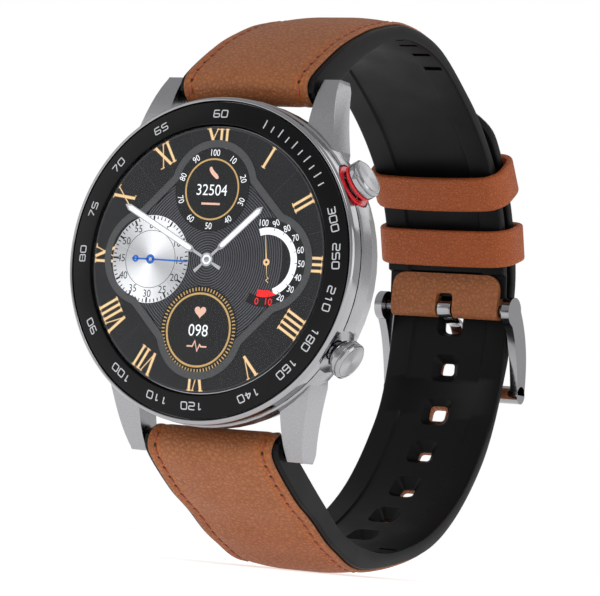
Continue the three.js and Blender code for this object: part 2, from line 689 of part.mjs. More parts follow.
const halfWidthAt = (y, inset) => {
  const share = THREE.MathUtils.clamp((y - barY) / (loopBack - barY), 0, 1);
  return THREE.MathUtils.lerp(strapWidth, strapBackWidth, share) / 2 - inset;
};

// The strap narrows evenly from the lugs to the buckle.
function narrowed(solid, inset) {
  const [lowY, highY] = [barY - 12, loopBack + 14];
  const outline = new THREE.Shape();
  outline.moveTo(-halfWidthAt(lowY, inset), lowY);
  outline.lineTo(halfWidthAt(lowY, inset), lowY);
  outline.lineTo(halfWidthAt(barY, inset), barY);
  outline.lineTo(halfWidthAt(loopBack, inset), loopBack);
  outline.lineTo(halfWidthAt(highY, inset), highY);
  outline.lineTo(-halfWidthAt(highY, inset), highY);
  outline.lineTo(-halfWidthAt(loopBack, inset), loopBack);
  outline.lineTo(-halfWidthAt(barY, inset), barY);
  return solid.intersect(planExtrusion(outline, -loopBottom - 20, loopTop + 20));
}

function liningSolid(half) {
  const outline = new THREE.Shape([...half.innerFace, ...[...half.outerFace].reverse()]);
  const sheet = sideExtrusion(outline, -strapWidth, strapWidth);
  const z = half.side * barZ;
  const rolled = joined(sheet, barX(strapEndRadius, barY, z, -strapWidth, strapWidth));
  const bore = barX(barRadius + seatGap, barY, z, -2 * strapWidth, 2 * strapWidth);
  const leverCut = box(leverSlot, [barY, barY + 8], [z - leverSlotHalf, z + leverSlotHalf]);
  return cut(narrowed(rolled, 0), bore, leverCut);
}

function leatherSolid(half) {
  const bottom = offsetFace(half.outerFace, half.side, bondGap);
  const top = offsetFace(half.outerFace, half.side, leatherStack);
  const outline = new THREE.Shape([...bottom, ...top.reverse()]);
  return narrowed(sideExtrusion(outline, -strapWidth, strapWidth), leatherInset);
}

// A box standing on the inner curve: u across the strap, along it and out through it.
function blockOnCurve(curve, fraction, side, halfX, halfAlong, low, high) {
  const block = box([-halfX, halfX], [-halfAlong, halfAlong], [low, high]);
  return placedOnCurve(block, curve, fraction, side);
}

function placedOnCurve(solid, curve, fraction, side) {
  const point = curve.getPointAt(fraction);
  const along = curve.getTangentAt(fraction);
  const outward = new THREE.Vector3(0, -side * along.y, side * along.x);
  const forward = new THREE.Vector3(0, along.x, along.y).multiplyScalar(side);
  const across = new THREE.Vector3(1, 0, 0);
  const place = new THREE.Matrix4().makeBasis(across, forward, outward).setPosition(0, point.x, point.y);
  return solid.transform(place.elements);
}

// Share of a curve's length at which it passes a height, counted from its far end.
function fractionAtHeight(curve, height, from, to) {
  let best = from;
  for (const f of spread(from, to, 400)) {
    if (Math.abs(curve.getPointAt(f).y - height) < Math.abs(curve.getPointAt(best).y - height)) best = f;
  }
  return best;
}

const firstHoleHeight = buckleBarZ - 1.9;
const longLength = longInner.getLength();
const firstHoleFraction = fractionAtHeight(longInner, firstHoleHeight, 0.5, 0.8);
const tailEndFraction = Math.min(1, firstHoleFraction + tailLength / longLength);

function addStraps() {
  const shortHalf = strapHalf(shortInner, 1, shortStations, 1);
  const longHalf = strapHalf(longInner, -1, longStations, tailEndFraction);

  const tabSeat = fractionAtHeight(shortInner, tabLength + buckleBarZ, 0.8, 1);
  const seatLength = 2 * (1 - tabSeat) * shortInner.getLength();
  const recess = blockOnCurve(shortInner, 1, 1, strapWidth, seatLength / 2, -2, tabThickness + fineGap);
  addPiece("buckle_strap_lining", cut(liningSolid(shortHalf), recess), rubberBlack);
  addPiece("buckle_strap_leather", leatherSolid(shortHalf), brownLeather);

  const holes = Array.from({ length: holeCount }, (_, i) => {
    const fraction = firstHoleFraction - (i * holePitch) / longLength;
    return blockOnCurve(longInner, fraction, -1, holeWidth / 2, holeHeight / 2, -3, 8);
  });
  addPiece("long_strap_lining", cut(liningSolid(longHalf), ...holes), rubberBlack);
  addPiece("long_strap_leather", cut(leatherSolid(longHalf), ...holes), brownLeather);

  const leafEnd = shortInner.getPointAt(tabSeat + fineGap / shortInner.getLength());
  const wrapRadius = buckleBarY - loopBack;
  const leaf = new THREE.Shape();
  leaf.moveTo(leafEnd.x + 0.1, leafEnd.y);
  leaf.lineTo(leafEnd.x + 0.1 + tabThickness - 0.1, leafEnd.y + 0.1);
  leaf.lineTo(loopBack + tabThickness, buckleBarZ);
  leaf.lineTo(loopBack + 0.05, buckleBarZ);
  const wrap = joined(
    sideExtrusion(leaf, -strapWidth, strapWidth),
    barX(wrapRadius, buckleBarY, buckleBarZ, -strapWidth, strapWidth),
  );
  const barHole = barX(buckleBarRadius + fineGap, buckleBarY, buckleBarZ, -2 * strapWidth, 2 * strapWidth);
  const tongueSlot = box(
    [-tongueWidth / 2 - seatGap, tongueWidth / 2 + seatGap],
    [loopBack - 3, loopBack + 6],
    [buckleBarZ - 3, buckleBarZ + 2.2],
  );
  addPiece("buckle_tab", cut(narrowed(wrap, leatherInset / 2), barHole, tongueSlot), brownLeather);
}

// ---------------------------------------------------------------- keepers
function addKeepers() {
  const stack = shortStackTop + layerGap + longStations[longStations.length - 1][1] + leatherStack;
  ["fixed_keeper", "free_keeper"].forEach((name, index) => {
    const fraction = fractionAtHeight(shortInner, keeperHeights[index], 0.6, 1);
    const openHalf = halfWidthAt(loopBack - 4, 0) + keeperGap;
    const [low, high] = [-keeperGap, stack + keeperGap];
    const outer = roundedFrame(openHalf + keeperWall, low - keeperWall, high + keeperWall, 2.2);
    outer.holes.push(roundedFrame(openHalf, low, high, 1.0));
    const options = { depth: keeperLength, bevelEnabled: false, curveSegments: 4 };
    const geometry = new THREE.ExtrudeGeometry(outer, options);
    geometry.rotateX(Math.PI / 2).translate(0, keeperLength / 2, 0);
    addPiece(name, placedOnCurve(toSolid(geometry), shortInner, fraction, 1), brownLeather);
  });
}

function roundedFrame(halfX, low, high, radius) {
  const frame = new THREE.Shape();
  frame.absarc(halfX - radius, high - radius, radius, 0, Math.PI / 2);
  frame.absarc(-halfX + radius, high - radius, radius, Math.PI / 2, Math.PI);
  frame.absarc(-halfX + radius, low + radius, radius, Math.PI, 1.5 * Math.PI);
  frame.absarc(halfX - radius, low + radius, radius, 1.5 * Math.PI, 2 * Math.PI);
  return frame;
}

// ---------------------------------------------------------------- buckle
function addBuckle() {
  const innerX = strapBackWidth / 2 + buckleArmGap;
  const outerX = innerX + buckleArmThickness;
  const tailDepth = longStations[longStations.length - 1][1] + leatherStack;
  const stackOuterY = loopBack + shortStackTop + layerGap + tailDepth;
  const farBarZ = buckleBarZ - buckleReach;
  const reachFraction = fractionAtHeight(longInner, farBarZ, 0.4, firstHoleFraction);
  const farDepth = buckleStrapDepth + leatherStack + seatGap + farBarRadius;
  const farPoint = standOff(longInner, reachFraction, farDepth, -1);

  const arm = new THREE.Shape();
  const [frontRoot, backRoot, rootRise] = armRoots;
  const frontBend = [stackOuterY + armFrontBend[0], buckleBarZ - armFrontBend[1]];
  const backBend = [stackOuterY - armBackBend[0], buckleBarZ - armBackBend[1]];
  const backRootZ = buckleBarZ - armBossRadius + rootRise;
  arm.moveTo(buckleBarY + frontRoot, buckleBarZ + armBossRadius);
  arm.quadraticCurveTo(...frontBend, farPoint.x + farBarRadius, farPoint.y);
  arm.lineTo(farPoint.x - farBarRadius, farPoint.y);
  arm.quadraticCurveTo(...backBend, buckleBarY - backRoot, backRootZ);
  const arms = [[innerX, outerX], [-outerX, -innerX]].flatMap(([x0, x1]) => [
    sideExtrusion(arm, x0, x1, 12),
    barX(armBossRadius, buckleBarY, buckleBarZ, x0, x1, 24),
  ]);
  const farBar = barX(farBarRadius + farBarSwell, farPoint.x, farPoint.y, -outerX, outerX, 20);
  const barHoleReach = outerX - barEndCover;
  const barHole = barX(buckleBarRadius + fineGap, buckleBarY, buckleBarZ, -barHoleReach, barHoleReach);
  addPiece("buckle_frame", cut(joined(farBar, ...arms), barHole), steel);
  const pinReach = barHoleReach - fineGap;
  addPiece("buckle_spring_bar", barX(buckleBarRadius, buckleBarY, buckleBarZ, -pinReach, pinReach), steel);

  const restY = farPoint.x + farBarRadius + farBarSwell + seatGap;
  const outsideY = stackOuterY + fineGap;
  const holeZ = longInner.getPointAt(firstHoleFraction).y;
  const tongueLine = new THREE.SplineCurve([
    at(buckleBarY + 0.9, buckleBarZ - 0.8),
    at(buckleBarY + 2.0, holeZ + 0.35),
    at(outsideY - 0.7, holeZ - 0.15),
    at(outsideY + 0.9, holeZ - 2.1),
    at(restY + 0.9, farPoint.y + 4.0),
    at(restY + tongueThickness / 2, farPoint.y),
    at(restY + tongueThickness / 2 - 0.3, farPoint.y - 1.2),
  ]);
  const line = tongueLine.getSpacedPoints(16);
  const outline = new THREE.Shape([
    ...offsetFace(line, 1, tongueThickness / 2),
    ...offsetFace(line, -1, tongueThickness / 2).reverse(),
  ]);
  const halfTongue = tongueWidth / 2;
  const rootRadius = buckleBarRadius + fineGap;
  const root = barX(rootRadius + tongueRootWall, buckleBarY, buckleBarZ, -halfTongue, halfTongue);
  const rootHole = barX(rootRadius, buckleBarY, buckleBarZ, -tongueWidth, tongueWidth);
  const tongue = cut(joined(sideExtrusion(outline, -halfTongue, halfTongue), root), rootHole);
  addPiece("buckle_tongue", tongue, steel);
}

addFront();
addMidCase();
addButtons();
addElectronics();
addBack();
addSpringBars();
addStraps();
addKeepers();
addBuckle();

export default group;
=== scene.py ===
"""Looks of a round smartwatch on a leather-faced strap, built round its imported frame.

Shapes are worked out in millimetres and turned into metres when a piece is made.
"""

import math

import bmesh
import bpy
from mathutils import Matrix, Vector


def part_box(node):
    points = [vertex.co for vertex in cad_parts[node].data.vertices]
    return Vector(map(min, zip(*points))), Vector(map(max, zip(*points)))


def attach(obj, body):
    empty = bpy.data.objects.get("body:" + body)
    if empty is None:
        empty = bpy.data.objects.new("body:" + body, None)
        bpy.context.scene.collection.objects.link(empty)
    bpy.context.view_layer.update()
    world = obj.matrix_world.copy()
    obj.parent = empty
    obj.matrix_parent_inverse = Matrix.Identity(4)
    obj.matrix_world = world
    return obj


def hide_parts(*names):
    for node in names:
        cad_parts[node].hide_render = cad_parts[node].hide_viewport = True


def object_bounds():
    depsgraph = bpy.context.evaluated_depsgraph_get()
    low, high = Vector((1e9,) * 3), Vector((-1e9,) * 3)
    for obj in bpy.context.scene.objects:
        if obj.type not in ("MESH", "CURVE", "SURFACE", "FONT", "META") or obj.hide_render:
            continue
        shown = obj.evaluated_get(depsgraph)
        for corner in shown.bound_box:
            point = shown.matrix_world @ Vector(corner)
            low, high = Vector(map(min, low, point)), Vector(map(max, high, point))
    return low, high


bl_info = {
    "name": "Round smartwatch",
    "version": (1, 0, 0),
    "blender": (4, 5, 0),
    "location": "View3D > Sidebar > Smartwatch",
    "description": "Builds the looks of a round smartwatch on a leather-faced strap",
    "category": "Add Mesh",
}

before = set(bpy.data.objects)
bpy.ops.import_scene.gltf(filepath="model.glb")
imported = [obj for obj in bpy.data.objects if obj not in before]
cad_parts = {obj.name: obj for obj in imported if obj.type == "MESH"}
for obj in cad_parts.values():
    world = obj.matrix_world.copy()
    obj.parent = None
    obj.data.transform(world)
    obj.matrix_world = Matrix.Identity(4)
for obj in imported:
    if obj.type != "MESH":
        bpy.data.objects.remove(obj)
CAD_BOX = [list(corner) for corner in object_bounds()]
MM = 0.001
MAIN_BODY = "case_and_strap"


# ---------------------------------------------------------------- measures of the frame
def box(node):
    """Lowest and highest corner of a CAD node, in millimetres."""
    low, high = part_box(node)
    return low / MM, high / MM


def reach(node, axis):
    """Nearest and furthest place of a CAD node along a direction, in millimetres."""
    steps = [v.co.dot(axis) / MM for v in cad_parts[node].data.vertices]
    return min(steps), max(steps)


def clock_axis(degrees):
    """The direction of a clock angle on the dial: 0 is twelve, 90 is three."""
    turn = math.radians(degrees)
    return Vector((math.sin(turn), 0, math.cos(turn)))


FRONT_Y = box("front_glass")[0].y
GLASS_BACK_Y = box("front_glass")[1].y
GLASS_RADIUS = box("front_glass")[1].x
BEZEL_LOW, BEZEL_HIGH = box("bezel_ring")
RING_LOW, RING_HIGH = box("upper_case_ring")
BAR_LOW, BAR_HIGH = box("upper_spring_bar")
BAR_Y, BAR_Z = (BAR_LOW.y + BAR_HIGH.y) / 2, (BAR_LOW.z + BAR_HIGH.z) / 2
BUCKLE_BAR_LOW, BUCKLE_BAR_HIGH = box("buckle_spring_bar")
BUCKLE_BAR_Y = (BUCKLE_BAR_LOW.y + BUCKLE_BAR_HIGH.y) / 2
BUCKLE_BAR_Z = (BUCKLE_BAR_LOW.z + BUCKLE_BAR_HIGH.z) / 2
STRAP_HALF = box("long_strap_lining")[1].x
BUTTON_ANGLES = {"upper": 60, "lower": 120}
BUTTON_Y = (box("upper_button")[0].y + box("upper_button")[1].y) / 2


# ---------------------------------------------------------------- what a user may change
def length(label, text, millimetres):
    return bpy.props.FloatProperty(
        name=label, description=text, default=millimetres * MM, unit="LENGTH", subtype="DISTANCE", precision=5
    )


def tint(label, text, red, green, blue):
    """A colour given as it looks on a screen, kept as the linear colour that shaders use."""
    linear = [((c / 255 + 0.055) / 1.055) ** 2.4 if c > 10 else c / 255 / 12.92 for c in (red, green, blue)]
    return bpy.props.FloatVectorProperty(
        name=label, description=text, default=linear, size=3, min=0, max=1, subtype="COLOR"
    )


class SmartwatchSizes(bpy.types.PropertyGroup):
    dome: length("Leather padding", "How far the padded middle of the leather stands proud", 1.1)
    leather_edge: length("Leather edge", "Thickness of the leather at its cut edge", 0.5)
    leather_inset: length("Leather inset", "From the lining's edge to the leather's edge", 0.8)
    seam_inset: length("Seam inset", "From the leather's edge to the stitches", 1.35)
    stitch_pitch: length("Stitch pitch", "From one stitch to the next", 2.1)
    thread_radius: length("Thread radius", "Half the thickness of the sewing thread", 0.24)
    lining_round: length("Lining edge", "Radius of the rubber lining's edges", 0.45)
    channel_half: length("Channel half width", "Half the width of the lining's sunken middle", 6.6)
    channel_depth: length("Channel depth", "How deep the lining's middle is sunk", 0.5)
    numeral_height: length("Numeral height", "Height of the Roman numerals", 3.3)
    ring_pitch: length("Engine-turning pitch", "From one engraved dial ring to the next", 0.36)
    edge_break: length("Case edge break", "Width of the polished break on the case's edges", 0.16)


class SmartwatchColours(bpy.types.PropertyGroup):
    leather: tint("Leather", "Colour of the strap leather", 160, 97, 58)
    leather_seam: tint("Leather at the seam", "Warmer colour beside the stitches", 176, 96, 40)
    keeper: tint("Keeper leather", "Colour of the keepers", 164, 82, 38)
    thread: tint("Thread", "Colour of the stitches", 158, 74, 36)
    rubber: tint("Rubber", "Colour of the strap lining", 13, 13, 14)
    steel: tint("Steel", "Colour of the case", 163, 163, 166)
    bezel: tint("Bezel", "Colour of the bezel", 14, 14, 15)
    marking: tint("Bezel marking", "Colour of the numbers on the bezel", 205, 207, 210)
    gold: tint("Gold", "Colour of the numerals", 226, 194, 146)
    rose: tint("Rose gold", "Colour of the small dial signs", 224, 178, 158)
    enamel: tint("Enamel", "Colour of the rings on the upper button", 206, 22, 34)
    blue: tint("Seconds hand", "Colour of the seconds hand", 28, 98, 186)


def sizes():
    return bpy.context.scene.smartwatch_sizes


def colours():
    return bpy.context.scene.smartwatch_colours


def mm(value):
    return value / MM


# ---------------------------------------------------------------- node trees
class Number:
    """A number inside a node tree, so that its maths reads as Python."""

    def __init__(self, tree, socket):
        self.tree = tree
        self.socket = socket

    def math(self, operation, other=None, swapped=False):
        node = self.tree.nodes.new("ShaderNodeMath")
        node.operation = operation
        mine, theirs = (1, 0) if swapped else (0, 1)
        self.tree.links.new(self.socket, node.inputs[mine])
        if isinstance(other, Number):
            self.tree.links.new(other.socket, node.inputs[theirs])
        elif other is not None:
            node.inputs[theirs].default_value = other
        return Number(self.tree, node.outputs[0])

    def __add__(self, other):
        return self.math("ADD", other)

    __radd__ = __add__

    def __sub__(self, other):
        return self.math("SUBTRACT", other)

    def __rsub__(self, other):
        return self.math("SUBTRACT", other, swapped=True)

    def __mul__(self, other):
        return self.math("MULTIPLY", other)

    __rmul__ = __mul__

    def __pow__(self, other):
        return self.math("POWER", other)


class Graph:
    """A node tree that is being wired."""

    def __init__(self, tree):
        self.tree = tree

    def node(self, kind, settings=None, sockets=None):
        """Adds a node: first its settings, then its sockets by name or index, as values or links."""
        node = self.tree.nodes.new(kind)
        for name, value in (settings or {}).items():
            if name == "stops":
                self.set_stops(node, value)
            else:
                setattr(node, name, value)
        for name, value in (sockets or {}).items():
            self.feed(node.inputs[name], value)
        return node

    def feed(self, socket, value):
        if isinstance(value, Number):
            self.tree.links.new(value.socket, socket)
        elif isinstance(value, bpy.types.NodeSocket):
            self.tree.links.new(value, socket)
        elif socket.type == "RGBA" and len(value) == 3:
            socket.default_value = (*value, 1)
        else:
            socket.default_value = value

    def set_stops(self, node, stops):
        ramp = node.color_ramp
        while len(ramp.elements) < len(stops):
            ramp.elements.new(1)
        for element, (place, colour) in zip(ramp.elements, stops):
            element.position = place
            element.color = (*colour, 1)

    def number(self, kind, output, settings=None, sockets=None):
        return Number(self.tree, self.node(kind, settings, sockets).outputs[output])


class Finish(Graph):
    """A material that is being wired round one Principled shader."""

    def __init__(self, name, colour, roughness, metallic=0.0, **constants):
        self.material = bpy.data.materials.new(name)
        self.material.use_nodes = True
        super().__init__(self.material.node_tree)
        self.tree.nodes.clear()
        self.shader = self.node("ShaderNodeBsdfPrincipled")
        output = self.node("ShaderNodeOutputMaterial")
        self.tree.links.new(self.shader.outputs[0], output.inputs["Surface"])
        self.set("Base Color", colour)
        self.set("Roughness", roughness)
        self.set("Metallic", metallic)
        for socket, value in constants.items():
            self.set(socket.replace("_", " "), value)
        self.place = self.node("ShaderNodeTexCoord").outputs["Object"]

    def set(self, socket, value):
        self.feed(self.shader.inputs[socket], value)

    def scaled_place(self, stretch):
        return self.node("ShaderNodeMapping", None, {"Vector": self.place, "Scale": stretch}).outputs[0]

    def noise(self, size, detail=2.0, stretch=None, distortion=0.0):
        """Cloudy noise whose features are about size millimetres across."""
        place = self.scaled_place(stretch) if stretch else self.place
        sockets = {"Vector": place, "Scale": 1 / (size * MM), "Detail": detail, "Distortion": distortion}
        return self.number("ShaderNodeTexNoise", "Fac", None, sockets)

    def cells(self, size, feature="DISTANCE_TO_EDGE", place=None):
        """Distance from the edges of cells about size millimetres across."""
        sockets = {"Vector": place or self.place, "Scale": 1 / (size * MM)}
        return self.number("ShaderNodeTexVoronoi", "Distance", {"feature": feature}, sockets)

    def ramp(self, value, stops):
        return self.node("ShaderNodeValToRGB", {"stops": stops}, {"Fac": value}).outputs["Color"]

    def level(self, value, low, high, to_low=0.0, to_high=1.0):
        """Value moved from the range low to high into another range, and kept inside it."""
        sockets = {"Value": value, "From Min": low, "From Max": high, "To Min": to_low, "To Max": to_high}
        return self.number("ShaderNodeMapRange", 0, None, sockets)

    def blend(self, first, second, share):
        """One colour turned into another by a share."""
        node = self.node("ShaderNodeMix", {"data_type": "RGBA"}, {0: share, 6: first, 7: second})
        return node.outputs[2]

    def relief(self, height, millimetres, strength=1.0, under=None):
        """Bumps the surface by a height of 0 to 1."""
        sockets = {"Height": height, "Distance": millimetres * MM, "Strength": strength}
        if under is not None:
            sockets["Normal"] = under
        normal = self.node("ShaderNodeBump", None, sockets).outputs[0]
        self.set("Normal", normal)
        return normal


_finishes = {}


def finish(name):
    """The material of that name, made when it is first asked for."""
    if name not in _finishes:
        _finishes[name] = FINISHES[name](name)
    return _finishes[name]


def satin_steel(name):
    f = Finish(name, colours().steel, 0.3, 1.0)
    grain = f.noise(0.9, 3, stretch=(1, 12, 1))
    f.set("Roughness", f.level(grain, 0.3, 0.7, 0.24, 0.3))
    f.relief(grain, 0.0005, 0.06)
    return f.material


def polished_steel(name):
    f = Finish(name, colours().steel, 0.12, 1.0)
    wear = f.noise(2.5, 4)
    f.set("Roughness", f.level(wear, 0.35, 0.75, 0.1, 0.2))
    f.relief(f.noise(0.5, 4, stretch=(1, 6, 2)), 0.0006, 0.05)
    return f.material


def sunburst_steel(name):
    """Steel brushed outwards from its middle: the grain follows the piece's own turn attribute. Its two light and two
    dark fans round the middle are painted reflections, laid into the colour.
    """
    f = Finish(name, colours().steel, 0.25, 1.0)
    turn = f.number("ShaderNodeAttribute", "Fac", {"attribute_name": "turn"})
    sockets = {"W": turn, "Scale": 60.0, "Detail": 3.0}
    grain = f.number("ShaderNodeTexNoise", "Fac", {"noise_dimensions": "1D"}, sockets)
    # painted reflection: two light and two dark fans round the middle, where brushed steel would mirror the lamps
    fans = (turn * (4 * math.pi)).math("SINE") * 0.5 + 0.5
    light = [min(1, c * 1.1) for c in colours().steel]
    dark = [c * 0.62 for c in colours().steel]
    f.set("Base Color", f.blend(dark, light, f.level(fans + grain * 0.35, 0.1, 1.2)))
    f.set("Roughness", f.level(grain, 0.3, 0.7, 0.22, 0.4))
    f.relief(grain, 0.01, 0.35)
    return f.material


def leather(name, colour, seam_colour, cell=0.74):
    """Full-grain leather: pebbled cells, creases between them painted darker as shade, pebble tops painted paler as
    highlights, and a warmer tone by the seams.
    """
    f = Finish(name, colour, 0.55, 0.0, Specular_IOR_Level=0.3)
    warp = f.node("ShaderNodeTexNoise", None, {"Vector": f.place, "Scale": 1 / (1.4 * MM), "Detail": 2.0})
    shift = f.node("ShaderNodeVectorMath", {"operation": "SCALE"}, {0: warp.outputs["Color"], "Scale": 0.5 * MM})
    bent = f.node("ShaderNodeVectorMath", {"operation": "ADD"}, {0: f.place, 1: shift.outputs[0]}).outputs[0]
    pebbles = f.level(f.cells(cell, place=bent), 0.0, 0.34)
    fine = f.cells(cell * 0.46, "F1", bent)
    pores = f.noise(0.2, 2)
    height = pebbles * 0.7 + fine * 0.3 + pores * 0.18
    clouds = f.noise(5.5, 3)
    seam = f.number("ShaderNodeAttribute", "Fac", {"attribute_name": "seam"})
    warm = f.level(seam + clouds * 0.5, 0.45, 1.25)
    tone = f.blend(colour, seam_colour, warm)
    # painted shade: the colour darkens in the low creases between the pebbles, mixed with random cloudy tone
    dark = [c * 0.62 for c in colour]
    shaded = f.blend(dark, tone, f.level(height + clouds * 0.25, 0.2, 0.75))
    # painted highlight: the tops of the pebbles are made paler
    pale = [min(1, c * 1.2 + 0.01) for c in colour]
    f.set("Base Color", f.blend(shaded, pale, f.level(height, 0.75, 1.15, 0, 0.35)))
    f.set("Roughness", f.level(height + pores * 0.3, 0.2, 1.2, 0.66, 0.44))
    f.relief(height, 0.12, 0.9)
    return f.material


def strap_leather(name):
    return leather(name, list(colours().leather), list(colours().leather_seam))


def keeper_leather(name):
    keeper = list(colours().keeper)
    return leather(name, keeper, [c * s for c, s in zip(keeper, (1.15, 0.92, 0.75))], 0.52)


def thread(name):
    f = Finish(name, colours().thread, 0.6, 0.0, Sheen_Weight=0.2)
    ply = f.noise(0.14, 2)
    f.set("Base Color", f.blend([c * 0.45 for c in colours().thread], colours().thread, f.level(ply, 0.35, 0.6)))
    f.relief(ply, 0.05, 0.6)
    return f.material


def needle_hole(name):
    # painted shade: a near-black brown for beads that stand in for the shadow inside the needle holes
    f = Finish(name, (0.02, 0.008, 0.004), 0.8)
    f.set("Base Color", f.blend((0.012, 0.006, 0.003), (0.05, 0.02, 0.01), f.noise(0.2)))
    return f.material


def rubber(name, roughness=(0.36, 0.5)):
    f = Finish(name, colours().rubber, 0.42, 0.0, Specular_IOR_Level=0.14)
    mould = f.noise(0.12, 3)
    smudge = f.noise(7, 2)
    f.set("Roughness", f.level(smudge, 0.3, 0.7, *roughness))
    f.set("Base Color", f.blend([c * 0.8 for c in colours().rubber], colours().rubber, smudge))
    f.relief(mould, 0.01, 0.25)
    return f.material


def bezel_ceramic(name):
    f = Finish(name, colours().bezel, 0.16, 0.0, Specular_IOR_Level=0.16)
    f.set("Roughness", f.level(f.noise(6, 2), 0.3, 0.7, 0.18, 0.28))
    f.relief(f.noise(0.25, 3), 0.002, 0.1)
    return f.material


def ink(name, colour, glow=0.35, metallic=0.0, roughness=0.35):
    """A lit colour of the display: slightly uneven, as small lamps behind a screen are."""
    f = Finish(name, colour, roughness, metallic, Emission_Strength=glow)
    dots = f.noise(0.18, 1)
    shaded = f.blend([c * 0.86 for c in colour], list(colour), f.level(dots, 0.35, 0.65))
    f.set("Base Color", shaded)
    f.set("Emission Color", shaded)
    return f.material


def cover_glass(name):
    """Clear flat glass: it shows what is behind it and mirrors a little at a slant."""
    f = Finish(name, (0.9, 0.9, 0.9), 0.03)
    clear = f.node("ShaderNodeBsdfTransparent", None, {"Color": (0.98, 0.985, 0.99)})
    gloss = f.node("ShaderNodeBsdfGlossy", None, {"Color": (0.9, 0.92, 0.95), "Roughness": 0.03})
    smear = f.noise(14, 2)
    slant = f.number("ShaderNodeFresnel", 0, None, {"IOR": 1.28})
    share = slant * f.level(smear, 0.3, 0.7, 0.1, 0.17)
    mixed = f.node("ShaderNodeMixShader", None, {0: share, 1: clear.outputs[0], 2: gloss.outputs[0]})
    output = next(n for n in f.tree.nodes if n.type == "OUTPUT_MATERIAL")
    f.tree.links.new(mixed.outputs[0], output.inputs["Surface"])
    f.tree.nodes.remove(f.shader)
    return f.material


def sensor_glass(name):
    f = Finish(name, (0.012, 0.013, 0.016), 0.06, 0.0, Coat_Weight=1.0, Coat_Roughness=0.02)
    f.set("Roughness", f.level(f.noise(4), 0.3, 0.7, 0.05, 0.12))
    f.relief(f.noise(1.5, 2), 0.002, 0.1)
    return f.material


def mottled(name, colour, roughness, metallic=0.0, size=0.8, contrast=0.25):
    """A plain moulded, plated or cast surface with uneven tone and a light texture."""
    f = Finish(name, colour, roughness, metallic)
    spots = f.noise(size, 3)
    f.set("Base Color", f.blend([c * (1 - contrast) for c in colour], list(colour), spots))
    f.set("Roughness", f.level(spots, 0.3, 0.7, roughness * 0.8, min(1, roughness * 1.2)))
    f.relief(spots, 0.01, 0.3)
    return f.material


def silver_plate(name):
    """The pale seconds dial, brushed round so that it shows light and dark fans."""
    f = Finish(name, (0.78, 0.78, 0.79), 0.3, 0.4, Emission_Strength=0.3)
    turn = f.number("ShaderNodeAttribute", "Fac", {"attribute_name": "turn"})
    fans = (turn * (4 * math.pi) + 0.9).math("SINE") * 0.5 + 0.5
    brushed = f.number("ShaderNodeTexNoise", "Fac", {"noise_dimensions": "1D"}, {"W": turn, "Scale": 90.0})
    tone = f.blend((0.42, 0.42, 0.43), (0.92, 0.92, 0.93), f.level(fans + brushed * 0.2, 0.05, 1.1))
    f.set("Base Color", tone)
    f.set("Emission Color", tone)
    return f.material


GOLD_LIGHT = (0.93, 0.72, 0.42)
FINISHES = {
    "satin steel": satin_steel,
    "polished steel": polished_steel,
    "sunburst steel": sunburst_steel,
    "strap leather": strap_leather,
    "keeper leather": keeper_leather,
    "thread": thread,
    "needle hole": needle_hole,
    "strap rubber": rubber,
    "seal rubber": lambda name: rubber(name, (0.6, 0.8)),
    "bezel ceramic": bezel_ceramic,
    "bezel marking": lambda name: ink(name, list(colours().marking), 0.0, 0.0, 0.4),
    "cover glass": cover_glass,
    "sensor glass": sensor_glass,
    "silver plate": silver_plate,
    # painted light: the red enamel of the upper button glows a little though it is no lamp
    "enamel": lambda name: ink(name, list(colours().enamel), 0.12, 0.0, 0.22),
    "dial black": lambda name: ink(name, (0.003, 0.003, 0.0036), 0.15),
    "dial plate": lambda name: ink(name, (0.0045, 0.0046, 0.0056), 0.2),
    "dial cut": lambda name: ink(name, (0.0015, 0.0015, 0.002), 0.1),
    "dial edge": lambda name: ink(name, (0.032, 0.032, 0.035), 0.3),
    "dial ridge": lambda name: ink(name, (0.062, 0.062, 0.064), 0.3),
    "dial ring": lambda name: ink(name, (0.088, 0.088, 0.1), 0.35),
    "dial gold": lambda name: ink(name, list(colours().gold), 0.55, 0.2),
    "dial bronze": lambda name: ink(name, (0.16, 0.085, 0.03), 0.3, 0.2),
    "dial gold line": lambda name: ink(name, (0.5, 0.32, 0.12), 0.5, 0.2),
    "dial rose": lambda name: ink(name, list(colours().rose), 0.5, 0.1),
    "dial white": lambda name: ink(name, (0.83, 0.84, 0.86), 0.5),
    "dial grey": lambda name: ink(name, (0.42, 0.42, 0.43), 0.4),
    "dial red": lambda name: ink(name, (0.85, 0.01, 0.01), 0.6),
    "dial blue": lambda name: ink(name, list(colours().blue), 0.4),
    "moulded plastic": lambda name: mottled(name, (0.012, 0.012, 0.013), 0.45, 0.0, 0.5),
    "circuit board": lambda name: mottled(name, (0.01, 0.07, 0.03), 0.5, 0.0, 1.2, 0.5),
    "battery cell": lambda name: mottled(name, (0.4, 0.41, 0.43), 0.4, 0.7, 2.0),
    "gold contact": lambda name: mottled(name, (0.78, 0.5, 0.2), 0.25, 1.0, 0.4),
}


# ---------------------------------------------------------------- outlines and paths
def fillet(points, radius, steps=4, closed=True):
    """An outline with its corners rounded."""
    rounded = []
    count = len(points)
    for i, point in enumerate(points):
        corner = Vector(point)
        if not closed and i in (0, count - 1):
            rounded.append(corner)
            continue
        back = Vector(points[i - 1]) - corner
        ahead = Vector(points[(i + 1) % count]) - corner
        cut = min(radius, 0.45 * back.length, 0.45 * ahead.length)
        start = corner + back.normalized() * cut
        end = corner + ahead.normalized() * cut
        for step in range(steps + 1):
            t = step / steps
            rounded.append(start * (1 - t) ** 2 + corner * (2 * t * (1 - t)) + end * t * t)
    return rounded


def circle(centre, radius, sides=72, start=0.0, sweep=360.0):
    """Points round a circle by clock angle. A part circle has both of its ends."""
    whole = sweep >= 360
    steps = range(sides if whole else sides + 1)
    turns = [math.radians(start + sweep * k / sides) for k in steps]
    return [Vector((centre[0] + radius * math.sin(a), centre[1] + radius * math.cos(a))) for a in turns]


